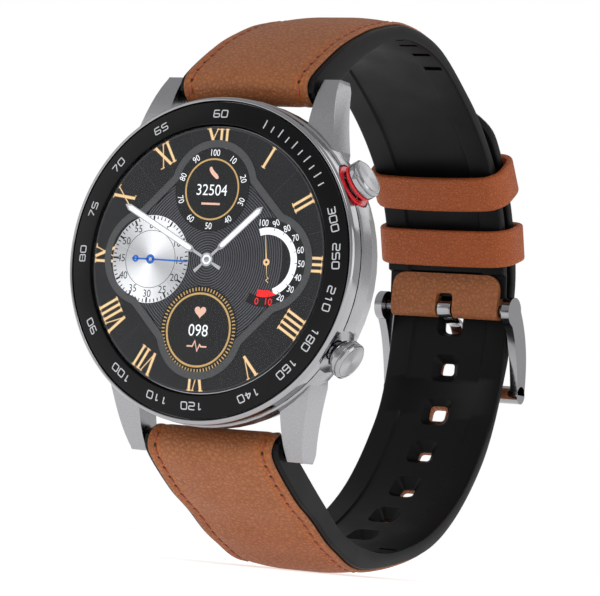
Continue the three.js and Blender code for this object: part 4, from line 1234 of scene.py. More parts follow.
# ---------------------------------------------------------------- glass, bezel and rim
BEZEL_INNER = GLASS_RADIUS + 0.3
BEZEL_OUTER = BEZEL_HIGH.x
BEZEL_FALL = 0.55
SCALE_RADIUS = 20.48
TACHYMETER = (60, 65, 70, 75, 80, 90, 100, 110, 120, 140, 160, 180, 210, 250, 300)
DIGIT_WIDTH = 0.92
DIGIT_HEIGHT = 0.98
DIGIT_GAP = 0.33


def digit_strokes(digit):
    """Square-cut strokes of one digit on a grid one wide and one tall. A stroke ends in True if it is closed."""
    full = [(0, 0), (1, 0), (1, 1), (0, 1)]
    low_box = [(0, 0), (1, 0), (1, 0.5), (0, 0.5)]
    high_box = [(0, 0.5), (1, 0.5), (1, 1), (0, 1)]
    shapes = {
        "0": [(full, True)],
        "1": [([(0.25, 0.8), (0.6, 1), (0.6, 0)], False)],
        "2": [([(0, 1), (1, 1), (1, 0.5), (0, 0.5), (0, 0), (1, 0)], False)],
        "3": [([(0, 1), (1, 1), (1, 0), (0, 0)], False), ([(0.25, 0.5), (1, 0.5)], False)],
        "4": [([(0.7, 0), (0.7, 1), (0, 0.3), (1, 0.3)], False)],
        "5": [([(1, 1), (0, 1), (0, 0.5), (1, 0.5), (1, 0), (0, 0)], False)],
        "6": [(low_box, True), ([(0, 0.4), (0, 1), (0.9, 1)], False)],
        "7": [([(0, 1), (1, 1), (0.4, 0)], False)],
        "8": [(low_box, True), (high_box, True)],
        "9": [(high_box, True), ([(1, 0.6), (1, 0), (0.1, 0)], False)],
    }
    return shapes[digit]


def bezel_y(radius):
    """Height of the bezel's slope at a radius."""
    return BEZEL_LOW.y + BEZEL_FALL * (radius - BEZEL_INNER) / (BEZEL_OUTER - BEZEL_INNER)


class SMARTWATCH_OT_front(bpy.types.Operator):
    """Makes the cover glass, the sloped bezel with its scale and the polished rim"""

    bl_idname = "smartwatch.front"
    bl_label = "Glass, bezel and rim"

    def execute(self, context):
        skin_y = FRONT_Y + GLASS_SKIN
        outline = [(0, FRONT_Y), (GLASS_RADIUS - 0.2, FRONT_Y), (GLASS_RADIUS - 0.06, FRONT_Y + 0.06)]
        outline += [(GLASS_RADIUS, FRONT_Y + 0.2), (GLASS_RADIUS, skin_y), (0, skin_y)]
        make_piece("cover_glass", turned(outline), "cover glass", stands_for=["front_glass"])

        slope = [(BEZEL_INNER, BEZEL_LOW.y), (BEZEL_OUTER, BEZEL_LOW.y + BEZEL_FALL)]
        slope += [(BEZEL_OUTER, BEZEL_HIGH.y), (BEZEL_INNER, BEZEL_HIGH.y)]
        shape = turned([tuple(p) for p in fillet(slope, 0.14)], 180)
        make_piece("sloped_bezel", shape, "bezel ceramic", stands_for=["bezel_ring"])
        self.scale_numbers()
        self.rim()
        return {"FINISHED"}

    def scale_numbers(self):
        marks = Layer(0, 0.02)
        for value in TACHYMETER:
            degrees = 360 * 60 / value
            letters = str(value)
            step = DIGIT_WIDTH + DIGIT_GAP
            for index, letter in enumerate(letters):
                left = (index - (len(letters) - 1) / 2) * step - DIGIT_WIDTH / 2
                for points, closed in digit_strokes(letter):
                    line = fillet([(left + x * DIGIT_WIDTH, y * DIGIT_HEIGHT) for x, y in points], 0.2, 3, closed)
                    spin = Matrix.Rotation(math.radians(-degrees), 2)
                    base = SCALE_RADIUS - DIGIT_HEIGHT / 2
                    placed = [spin @ Vector((p.x, p.y + base)) for p in line]
                    marks.line(placed, 0.16, closed)
        for minute in range(21, 58, 4):
            degrees = minute
            long = (minute - 21) % 8 == 0
            out = SCALE_RADIUS + (0.62 if long else 0.3)
            marks.line([polar(SCALE_RADIUS - 0.62, degrees), polar(out, degrees)], 0.17)
        shape = marks.done()
        for vertex in shape.verts:
            radius = math.hypot(vertex.co.x, vertex.co.z)
            vertex.co.y += bezel_y(radius) - 0.004
        make_piece("bezel_scale", shape, "bezel marking", smooth=20)

    def rim(self):
        wall = 0.6
        outer = RING_HIGH.x
        inner = outer - wall
        back = RING_HIGH.y
        ledge_bore = DIAL_RADIUS - 0.85
        glass_seat = GLASS_BACK_Y + 0.2
        step = GLASS_RADIUS + 0.15
        bezel_seat = BEZEL_HIGH.y + 0.2
        outline = [(inner, RING_LOW.y + 0.05), (inner + 0.12, RING_LOW.y - 0.02), (outer - 0.22, RING_LOW.y + 0.05)]
        outline += [(outer, RING_LOW.y + 0.5), (outer, back), (ledge_bore, back), (ledge_bore, glass_seat)]
        outline += [(step, glass_seat), (step, bezel_seat), (inner, bezel_seat)]
        shape = turned([tuple(p) for p in fillet(outline, 0.13)], 180)
        for degrees in BUTTON_ANGLES.values():
            shape = combined(shape, pocket_tool(degrees), "DIFFERENCE")
        make_piece("polished_rim", shape, "polished steel", stands_for=["upper_case_ring"])


# ---------------------------------------------------------------- case
BUTTON_FACE = reach("upper_button", clock_axis(BUTTON_ANGLES["upper"]))[1]
BUTTON_RADIUS = (box("upper_button")[1].y - box("upper_button")[0].y) / 2
POCKET_RADIUS = 3.4
POCKET_FLOOR = reach("upper_button_foot_ring", clock_axis(BUTTON_ANGLES["upper"]))[0] - 0.2


def along_button(shape, degrees):
    """Turns a shape built about Y so that its Y runs outwards along a button."""
    out = clock_axis(degrees)
    side = clock_axis(degrees + 90)
    turn = Matrix((side, out, side.cross(out))).transposed().to_4x4()
    shape.transform(Matrix.Translation((0, BUTTON_Y, 0)) @ turn)
    return shape


def pocket_tool(degrees):
    """The round pocket that a button sinks into."""
    top = BUTTON_FACE + 1
    outline = [(0, POCKET_FLOOR), (POCKET_RADIUS, POCKET_FLOOR), (POCKET_RADIUS, top), (0, top)]
    return along_button(turned(outline, 64), degrees)


class SMARTWATCH_OT_case(bpy.types.Operator):
    """Finishes the mid case with its lugs, breaking their edges"""

    bl_idname = "smartwatch.case"
    bl_label = "Mid case and lugs"

    def execute(self, context):
        case = make_piece("case_band_and_lugs", copied("mid_case"), "satin steel", stands_for=["mid_case"])
        edge_broken(case, mm(sizes().edge_break))
        return {"FINISHED"}


# ---------------------------------------------------------------- buttons
class SMARTWATCH_OT_buttons(bpy.types.Operator):
    """Makes both push buttons with their grooved necks, brushed faces and the upper one's red rings"""

    bl_idname = "smartwatch.buttons"
    bl_label = "Push buttons"

    def execute(self, context):
        for which, degrees in BUTTON_ANGLES.items():
            self.button(which, degrees)
        self.red_rings()
        return {"FINISHED"}

    def button(self, which, degrees):
        stem_end = reach(f"{which}_button", clock_axis(degrees))[0]
        face, radius = BUTTON_FACE, BUTTON_RADIUS
        foot = face - 1.4
        neck_foot = POCKET_FLOOR + 0.95
        outline = [(0, stem_end), (0.7, stem_end), (0.7, neck_foot), (2.1, neck_foot)]
        outline += fillet([(2.1, neck_foot + 0.1), (1.92, neck_foot + 0.16), (1.92, neck_foot + 0.3)], 0.04, 2, False)
        outline += [(2.1, neck_foot + 0.36), (2.1, foot)]
        head = [(2.1, foot), (radius, foot), (radius, face - 0.72), (radius - 0.16, face - 0.66)]
        head += [(radius - 0.16, face - 0.58), (radius, face - 0.52), (radius, face - 0.26)]
        head += [(radius - 0.3, face), (radius - 0.42, face), (radius - 0.5, face - 0.07)]
        outline += [tuple(p) for p in fillet(head, 0.05, 3, False)]
        outline += [(radius - 0.52, face - 0.07), (0, face - 0.07)]
        shape = along_button(turned(outline, 96), degrees)
        body = f"{which}_push_button"
        names = [f"{which}_button"]
        make_piece(f"{which}_push_button_steel", shape, "polished steel", body, names, 28)
        cap_outline = [(0, face - 0.07), (radius - 0.55, face - 0.07), (radius - 0.55, face - 0.03), (0, face - 0.03)]
        cap = make_piece(
            f"{which}_button_brushed_face",
            along_button(turned(cap_outline, 96), degrees),
            "sunburst steel",
            body,
        )
        out = clock_axis(degrees)
        side = clock_axis(degrees + 90)
        mark_turn(cap, out * face + Vector((0, BUTTON_Y, 0)), side, side.cross(out))

    def red_rings(self):
        degrees = BUTTON_ANGLES["upper"]
        for node, name, body in (
            ("upper_button_cap_ring", "upper_button_red_band", "upper_push_button"),
            ("upper_button_foot_ring", "upper_button_red_foot", MAIN_BODY),
        ):
            low, high = reach(node, clock_axis(degrees))
            wide = (box(node)[1].y - box(node)[0].y) / 2
            corners = [(2.28, low), (wide, low), (wide, high), (2.28, high)]
            shape = along_button(turned([tuple(p) for p in fillet(corners, 0.12)], 96), degrees)
            make_piece(name, shape, "enamel", body, [node])


# ---------------------------------------------------------------- back
class SMARTWATCH_OT_back(bpy.types.Operator):
    """Finishes the back cover, its screws and contacts, and makes the domed sensor window"""

    bl_idname = "smartwatch.back"
    bl_label = "Back cover and sensor"

    def execute(self, context):
        cover = make_piece("back_shell", copied("back_cover"), "moulded plastic", stands_for=["back_cover"])
        edge_broken(cover, 0.08)
        low, high = box("sensor_window")
        radius = high.x
        outline = [(0, low.y), (radius, low.y), (radius, high.y - 0.5), (radius - 0.35, high.y - 0.2)]
        outline += [(radius - 1.3, high.y - 0.02), (radius * 0.6, high.y), (0, high.y)]
        smooth = [tuple(p) for p in fillet(outline[1:-1], 0.3, 4, False)]
        lens = turned([outline[0], *smooth, outline[-1]])
        make_piece("sensor_lens", lens, "sensor glass", stands_for=["sensor_window"])
        lamps = Layer(0, 0.02)
        for k in range(4):
            lamps.disc(polar(3.4, 45 + 90 * k), 1.1, 40)
        lamps.ring(HUB, 5.9, 6.1)
        shape = lamps.done()
        shape.transform(Matrix.Translation((0, high.y + 0.004, 0)))
        make_piece("sensor_lamp_windows", shape, "dial edge")
        for number in range(1, 5):
            node = f"back_screw_{number}"
            screw = make_piece(f"cover_screw_{number}", copied(node), "polished steel", stands_for=[node])
            edge_broken(screw, 0.06)
        for number in (1, 2):
            node = f"charging_contact_{number}"
            pin = make_piece(f"contact_pin_{number}", copied(node), "gold contact", stands_for=[node])
            edge_broken(pin, 0.12)
        return {"FINISHED"}


# ---------------------------------------------------------------- strap
STRAP_ROLL = 2.0
LOOP_BACK = 61.8
STRAP_BACK_HALF = 10.25
SHORT_OVER = 3.05
TAIL_SHARES = (1, 0.94, 0.85, 0.76, 0.67, 0.585)
SHORT_KNOTS = [(-1, 25.2), (8.2, 32.0), (17.2, 36.2), (25, 37.2), (34.1, 35.4), (45.2, 29.3)]
SHORT_KNOTS += [(52.8, 23.1), (57.8, 16.6), (60.9, 8.8), (61.8, 3.3)]
LONG_KNOTS = [(-1, -25.2), (9, -31.7), (17.1, -36.2), (27.5, -38.1), (36.5, -37.1), (45, -34.2)]
LONG_KNOTS += [(53.6, -28.2), (59.9, -20), (63.6, -11.5)]
SHORT_STATIONS = [(6, 3.8), (12, 3.1), (18, 2.5), (26, 2.0), (36, 1.8), (48, 1.7)]
LONG_STATIONS = [(6, 3.9), (12, 3.2), (20, 2.8), (30, 2.75), (50, 2.2), (68, 1.9), (84, 1.6)]
TAIL_LENGTH = 36.5
HOLE_PITCH = 7.4
HOLE_COUNT = 7
LEATHER_LIFT = 0.02
LINING_HOLE = ((-3, 2.6, 2.5), (0, 2.55, 2.45), (1.6, 1.5, 1.75), (8, 1.5, 1.75))
LEATHER_HOLE = ((-3, 1.8, 2.2), (8, 1.8, 2.2))
TONGUE_HOLE = 2  # half widths below this are the bore that the tongue goes through


class Half:
    """One half of the strap: its inner face, its outer face and what lies between them."""

    def __init__(self, inner, side, stations, last):
        self.inner, self.side, self.last = inner, side, last
        head = [Vector((BAR_Y - 2.6, side * (BAR_Z - 0.6))), Vector((BAR_Y - 2.1, side * (BAR_Z + 1.7)))]
        near = [(d, t) for d, t in stations if d < last * inner.length - 6]
        faces = [inner.off(d / inner.length, t, side) for d, t in near]
        start = near[-1][0] / inner.length
        even = [start + (last - start) * k / 6 for k in range(1, 7)]
        self.outer = Path(head + faces + [inner.off(share, stations[-1][1], side) for share in even])

    def ends(self, share):
        """Facing places on the inner and the outer face."""
        return self.inner.at(share * self.last), self.outer.at(share)

    def half_width(self, y):
        share = min(max((y - BAR_Y) / (LOOP_BACK - BAR_Y), 0), 1)
        return STRAP_HALF + (STRAP_BACK_HALF - STRAP_HALF) * share

    def on_inner(self, share, height=0.0):
        """The frame at a place on the inner face: its matrix has x across, y along and z outwards."""
        along = self.inner.along(share)
        out = Vector((0, -self.side * along.y, self.side * along.x))
        ahead = Vector((0, along.x, along.y)) * self.side
        place = self.inner.at(share)
        turn = Matrix((Vector((1, 0, 0)), ahead, out)).transposed().to_4x4()
        return Matrix.Translation((0, place.x, place.y)) @ turn @ Matrix.Translation((0, 0, height))


def strap_halves():
    short = Path(SHORT_KNOTS)
    tail = [short.off(share, SHORT_OVER, 1) for share in TAIL_SHARES]
    long = Path(LONG_KNOTS + tail)
    first_hole = long.share_at_height(BUCKLE_BAR_Z - 1.9, 0.5, 0.8)
    tail_end = first_hole + TAIL_LENGTH / long.length
    return Half(short, 1, SHORT_STATIONS, 1), Half(long, -1, LONG_STATIONS, tail_end), first_hole


def lining_section(low, high, half, channel, depth):
    """A slice across the lining: rounded edges and a sunken middle on the wrist side."""
    height = (high - low).length
    up = (high - low).normalized()
    r = min(mm(sizes().lining_round), height * 0.45)
    corners = [(half, 0), (half, height), (-half, height), (-half, 0)]
    rounded = fillet(corners, r, 4)
    edge = 0.35
    sunken = [(-channel, 0), (-channel + edge, depth), (channel - edge, depth), (channel, 0)]
    flat = rounded[5:15] + rounded[15:20] + [Vector(p) for p in sunken] + rounded[0:5]
    return [Vector((p.x, low.x + up.x * p.y, low.y + up.y * p.y)) for p in flat]


class SMARTWATCH_OT_lining(bpy.types.Operator):
    """Moulds the rubber lining of both strap halves, with the sunken middle, bar bores and pin holes"""

    bl_idname = "smartwatch.lining"
    bl_label = "Strap lining"

    def execute(self, context):
        short, long, first_hole = strap_halves()
        steps = 150
        tab_share = short.inner.share_at_height(BUCKLE_BAR_Z + 5.6, 0.8, 1)
        self.lining("buckle_strap_rubber", short, steps, "buckle_strap_lining", tab_share, notches(short))
        cutters = notches(long) + pin_holes(long, first_hole, LINING_HOLE)
        self.lining("long_strap_rubber", long, steps, "long_strap_lining", 2, cutters)
        return {"FINISHED"}

    def lining(self, name, half, steps, node, tab_share, holes):
        sections = []
        depth = mm(sizes().channel_depth)
        channel = mm(sizes().channel_half)
        end_steps = 5
        shares = [k / steps for k in range(steps + 1)]
        for share in shares:
            low, high = half.ends(share)
            up = (high - low).normalized()
            if share > tab_share:
                low = low + up * 1.0
            ease_in = min(1, max(0, share * half.inner.length * half.last - 1.5) / 2)
            left = (1 - share) * half.inner.length * half.last
            ease_out = min(1, max(0, left - 1.5) / 2)
            wide = half.half_width(high.x)
            if half.side < 0:
                wide -= 3.2 * max(0, 1 - left / 6) ** 2.4
            sections.append(lining_section(low, high, wide, channel, depth * min(ease_in, ease_out)))
        shape = lofted(sections)
        roll_half = half.half_width(BAR_Y)
        z = half.side * BAR_Z
        roll = across_bar(STRAP_ROLL, BAR_Y, z, roll_half, 0.35)
        shape = combined(shape, roll, "UNION")
        bore = across_bar(BAR_HIGH.y - BAR_Y + 0.3, BAR_Y, z, 30, 0)
        slot_cut = block((6.2, BAR_Y, z - 0.9), (9.3, BAR_Y + 8, z + 0.9))
        shape = combined(shape, bore, "DIFFERENCE")
        shape = combined(shape, slot_cut, "DIFFERENCE")
        if holes:
            shape = combined(shape, join(*holes), "DIFFERENCE")
        make_piece(name, shape, "strap rubber", MAIN_BODY, [node], 32)


def across_bar(radius, y, z, half, rounding, sides=64):
    """A bar across the strap, along X."""
    outline = [(0, -half), (radius, -half), (radius, half), (0, half)]
    rounded = fillet(outline[1:3], 0, 1, False) if rounding <= 0 else None
    if rounding > 0:
        open_line = [Vector((0, -half)), Vector((radius, -half)), Vector((radius, half)), Vector((0, half))]
        rounded = fillet(open_line, rounding, 4, False)[1:-1]
    shape = turned([outline[0], *[tuple(p) for p in rounded], outline[3]], sides)
    shape.transform(Matrix.Translation((0, y, z)) @ Matrix.Rotation(math.radians(-90), 4, "Z"))
    return shape


def pin_holes(half, first_hole, levels):
    """Cutters for the row of pin holes: rounded squares given as (height, half width, half length) levels."""
    cutters = []
    for number in range(HOLE_COUNT):
        share = first_hole - number * HOLE_PITCH / half.inner.length
        rows = []
        for height, wide, tall in levels:
            if number and wide < TONGUE_HOLE:
                wide, tall = wide * 0.7, tall * 0.5
            square = [(wide, -tall), (wide, tall), (-wide, tall), (-wide, -tall)]
            rows.append([Vector((p.x, p.y, height)) for p in fillet(square, tall * 0.62, 6)])
        shape = lofted(rows)
        shape.transform(half.on_inner(share))
        cutters.append(shape)
    return cutters


def notches(half):
    """Cutters for short cross grooves on the two side bands, where the loop bends most."""
    cutters = []
    wide = mm(sizes().channel_half) + 0.3
    for number in range(5):
        share = (21.5 + 4.4 * number) / half.inner.length
        for side in (1, -1):
            spots = sorted((side * wide, side * (half.half_width(25) - 0.8)))
            shape = block((spots[0], -0.5, -1), (spots[1], 0.5, 0.4))
            shape.transform(half.on_inner(share))
            cutters.append(shape)
    return cutters


def leather_height(place, half, crown):
    """Height of the leather over the lining at a place across it: edge, seam dip, then the padded middle."""
    s = sizes()
    edge, dome = mm(s.leather_edge), mm(s.dome) * crown
    dome = max(dome, edge * 0.9)
    inwards = half - abs(place)
    seam = mm(s.seam_inset)
    if inwards < 0.32:
        return edge * (0.35 + 0.65 * math.sqrt(max(0, 1 - (1 - inwards / 0.32) ** 2)))
    dip = 0.13 * math.exp(-(((inwards - seam) / 0.42) ** 2))
    swell = min(1, max(0, (inwards - seam - 0.25) / (half * 0.62)))
    rise = math.sin(swell * math.pi / 2) ** 0.85
    return edge - dip + (dome - edge) * rise


def leather_line(half):
    """The line that the leather follows: round the front of the roll, then along the outer face."""
    centre = Vector((BAR_Y, half.side * BAR_Z))
    wrap = []
    for degrees, radius in ((272, 2.0), (256, 2.0), (240, 2.02), (226, 2.1), (213, 2.2), (203, 2.4)):
        turn = math.radians(degrees)
        wrap.append(centre + Vector((math.cos(turn), half.side * math.sin(turn))) * radius)
    face = [half.outer.at(k / 150) for k in range(151)]
    line = Path(wrap + face[1:], 2)
    return line


class SMARTWATCH_OT_leather(bpy.types.Operator):
    """Shapes the padded leather of both strap halves and sews it down with two rows of stitches"""

    bl_idname = "smartwatch.leather"
    bl_label = "Strap leather and stitching"

    def execute(self, context):
        short, long, first_hole = strap_halves()
        self.leather("buckle_strap_hide", short, "buckle_strap_leather", [])
        self.leather("long_strap_hide", long, "long_strap_leather", pin_holes(long, first_hole, LEATHER_HOLE))
        return {"FINISHED"}

    def crown(self, half, line, place):
        """How full the padding is along the strap: flat at the roll, fullest past it, thin at the far end."""
        rise = min(1, max(0, place - 1.2) / 7)
        left = line.length - place
        fall = min(1, left / 16)
        swell = interpolate([(0, 1.0), (30, 1.0), (60, 0.88), (90, 0.78)], place)
        return swell * rise * (2 - rise) * (0.6 + 0.4 * fall)

    def half_at(self, half, line, place, y):
        wide = half.half_width(y) - mm(sizes().leather_inset)
        left = line.length - place
        if half.side < 0:
            wide -= 3.2 * max(0, 1 - left / 6) ** 2.4
        return wide - 0.3 * max(0, 1 - place / 1.2) ** 2

    def leather(self, name, half, node, holes):
        line = leather_line(half)
        steps = 260
        sections, seam_marks = [], []
        for k in range(steps + 1):
            share = k / steps
            place = share * line.length
            base = line.off(share, LEATHER_LIFT, half.side)
            direction = line.along(share)
            out = Vector((-half.side * direction.y, half.side * direction.x))
            wide = self.half_at(half, line, place, base.x)
            crown = self.crown(half, line, place)
            fade = min(1, 0.25 + place / 1.0) * min(1, 0.3 + (line.length - place) / 0.5)
            row = [Vector((wide - 0.1, base.x, base.y)), Vector((0.1 - wide, base.x, base.y))]
            marks = [0, 0]
            for step in range(-26, 27):
                t = step / 26
                x = wide * math.copysign(1 - (1 - abs(t)) ** 1.35, t)
                height = leather_height(x, wide, crown) * fade
                row.append(Vector((x, base.x + out.x * height, base.y + out.y * height)))
                inwards = wide - abs(x)
                marks.append(math.exp(-(((inwards - mm(sizes().seam_inset)) / 0.95) ** 2)))
            sections.append(row)
            seam_marks.append(marks)
        shape = bmesh.new()
        layer = shape.verts.layers.float.new("seam")
        rows = []
        for row, marks in zip(sections, seam_marks):
            made = [shape.verts.new(point) for point in row]
            for vertex, mark in zip(made, marks):
                vertex[layer] = mark
            rows.append(made)
        count = len(rows[0])
        for here, after in zip(rows, rows[1:]):
            for i in range(count):
                shape.faces.new((here[i], here[(i + 1) % count], after[(i + 1) % count], after[i]))
        shape.faces.new(rows[0][::-1])
        shape.faces.new(rows[-1])
        bmesh.ops.recalc_face_normals(shape, faces=shape.faces)
        if holes:
            shape = combined(shape, join(*holes), "DIFFERENCE")
        hide = make_piece(name, shape, "strap leather", MAIN_BODY, [node], 50)
        self.sew(name, half, line)

    def sew(self, name, half, line):
        s = sizes()
        pitch = mm(s.stitch_pitch)
        start, end = 3.4, line.length - 2.2
        # the dark beads half a pitch on from the threads are painted shade for the needle holes
        for offset, kind in ((0, "thread"), (pitch / 2, "needle hole")):
            rows = []
            for side in (1, -1):
                row = []
                place = start + offset
                while place < end - offset:
                    share = place / line.length
                    base = line.at(share)
                    direction = line.along(share)
                    out = Vector((-half.side * direction.y, half.side * direction.x))
                    wide = self.half_at(half, line, place, base.x)
                    x = wide - mm(s.seam_inset)
                    lift = LEATHER_LIFT + leather_height(x, wide, self.crown(half, line, place))
                    lift += 0.03 if kind == "thread" else -0.12
                    spot = base + out * lift
                    row.append(Vector((side * x, spot.x, spot.y)) * MM)
                    place += pitch / 2
                rows.append(row)
            radius = mm(s.thread_radius)
            size = (radius, radius, pitch * 0.4) if kind == "thread" else (radius * 1.25, radius * 1.25, pitch * 0.17)
            values = {"Pitch": pitch * MM, "Half size": [v * MM for v in size], "Finish": finish(kind)}
            mesh = grown("stitches", values, rows)
            piece = place_piece(f"{name}_{kind.replace(' ', '_')}s", mesh, kind, smooth=60)


# ---------------------------------------------------------------- keepers and tab
KEEPER_LENGTH = 5.8
KEEPER_WALL = 1.0
KEEPER_GAP = 0.45
KEEPER_STACK = 5.65


class SMARTWATCH_OT_keepers(bpy.types.Operator):
    """Makes the fixed and the free keeper as bands of folded leather with rounded edges"""

    bl_idname = "smartwatch.keepers"
    bl_label = "Keepers"

    def execute(self, context):
        short, _, _ = strap_halves()
        for name, node, body, height in (
            ("keeper_band_fixed", "fixed_keeper", MAIN_BODY, 11.2),
            ("keeper_band_free", "free_keeper", "sliding_keeper", 19.7),
        ):
            self.keeper(short, name, node, body, height)
        return {"FINISHED"}

    def keeper(self, short, name, node, body, height):
        share = short.inner.share_at_height(height, 0.6, 1)
        open_half = short.half_width(LOOP_BACK - 4) + KEEPER_GAP
        low, high = -KEEPER_GAP, KEEPER_STACK + KEEPER_GAP
        middle = KEEPER_WALL / 2
        corners = [(open_half + middle, low - middle), (open_half + middle, high + middle)]
        corners += [(-open_half - middle, high + middle), (-open_half - middle, low - middle)]
        loop = fillet(corners, 3.0, 9)
        dense = []
        for a, b in zip(loop, loop[1:] + loop[:1]):
            pieces = max(1, int((b - a).length / 0.8))
            dense += [a.lerp(b, k / pieces) for k in range(pieces)]
        for point in dense:
            if point.y < low:
                point.y -= 0.8 * max(0, 1 - (point.x / open_half) ** 2) ** 0.8
        half_long, half_thick = KEEPER_LENGTH / 2, KEEPER_WALL / 2
        slice_corners = [(half_long, -half_thick), (half_long, half_thick), (-half_long, half_thick), (-half_long, -half_thick)]
        slice_line = fillet(slice_corners, 0.42, 4)
        sections = []
        count = len(dense)
        for i, point in enumerate(dense):
            direction = (dense[(i + 1) % count] - dense[i - 1]).normalized()
            out = Vector((direction.y, -direction.x))
            row = []
            for p in slice_line:
                lift = p.y - 0.1 * (1 - (p.x / half_long) ** 2) * (1 if p.y > 0 else 0) * -1
                spot = point + out * lift
                row.append(Vector((spot.x, p.x, spot.y)))
            sections.append(row)
        shape = lofted(sections, capped=False)
        shape.transform(short.on_inner(share))
        make_piece(name, shape, "keeper leather", body, [node], 40)


class SMARTWATCH_OT_tab(bpy.types.Operator):
    """Makes the leather tab that holds the buckle bar, with its slot for the tongue"""

    bl_idname = "smartwatch.tab"
    bl_label = "Buckle tab"

    def execute(self, context):
        y, z = BUCKLE_BAR_Y, BUCKLE_BAR_Z
        wrap = y - LOOP_BACK
        top, thick = z + 5.5, 0.8
        low, high = box("buckle_tab")
        half = high.x - 0.45
        turn_end = math.acos((thick - wrap) / wrap)
        outline = [Vector((LOOP_BACK + 0.1, top)), Vector((LOOP_BACK + 0.02, z + 2.5))]
        arc_steps = 28
        sweep = 2 * math.pi - (math.pi - turn_end) if False else math.pi + turn_end
        for k in range(arc_steps + 1):
            turn = math.pi + (2 * math.pi - sweep_back(wrap, thick)) * k / arc_steps
            outline.append(Vector((y + wrap * math.cos(turn), z + wrap * math.sin(turn))))
        outline.append(Vector((LOOP_BACK + thick + 0.1, top)))
        shape = side_extruded(outline, -half, half)
        bore = across_bar(0.95, y, z, 30, 0)
        shape = combined(shape, bore, "DIFFERENCE")
        plan = [(half, z - 4), (half, top), (-half, top), (-half, z - 4)]
        keep = plan_extruded(fillet(plan, 2.4, 8), LOOP_BACK - 3, LOOP_BACK + 6)
        shape = combined(shape, keep, "INTERSECT")
        slot_plan = [(1.5, z - 3), (1.5, z + 2.4), (-1.5, z + 2.4), (-1.5, z - 3)]
        slot_cut = plan_extruded(fillet(slot_plan, 0.9, 6), LOOP_BACK - 3, LOOP_BACK + 6)
        shape = combined(shape, slot_cut, "DIFFERENCE")
        tab = make_piece("buckle_tab_leather", shape, "strap leather", MAIN_BODY, ["buckle_tab"])
        edge_broken(tab, 0.22, 50, 3)
        return {"FINISHED"}


def sweep_back(wrap, thick):
    """The part of a full turn that the wrap leaves open, where it meets the outside of the leaf."""
    return math.pi - math.acos((wrap - thick) / wrap)


def side_extruded(outline, low, high):
    """An outline in (y, z) carried across X."""
    rows = [[Vector((x, p[0], p[1])) for p in outline] for x in (low, high)]
    return lofted(rows)


def plan_extruded(outline, low, high):
    """An outline in (x, z) carried along Y."""
    rows = [[Vector((p[0], y, p[1])) for p in outline] for y in (low, high)]
    return lofted(rows)


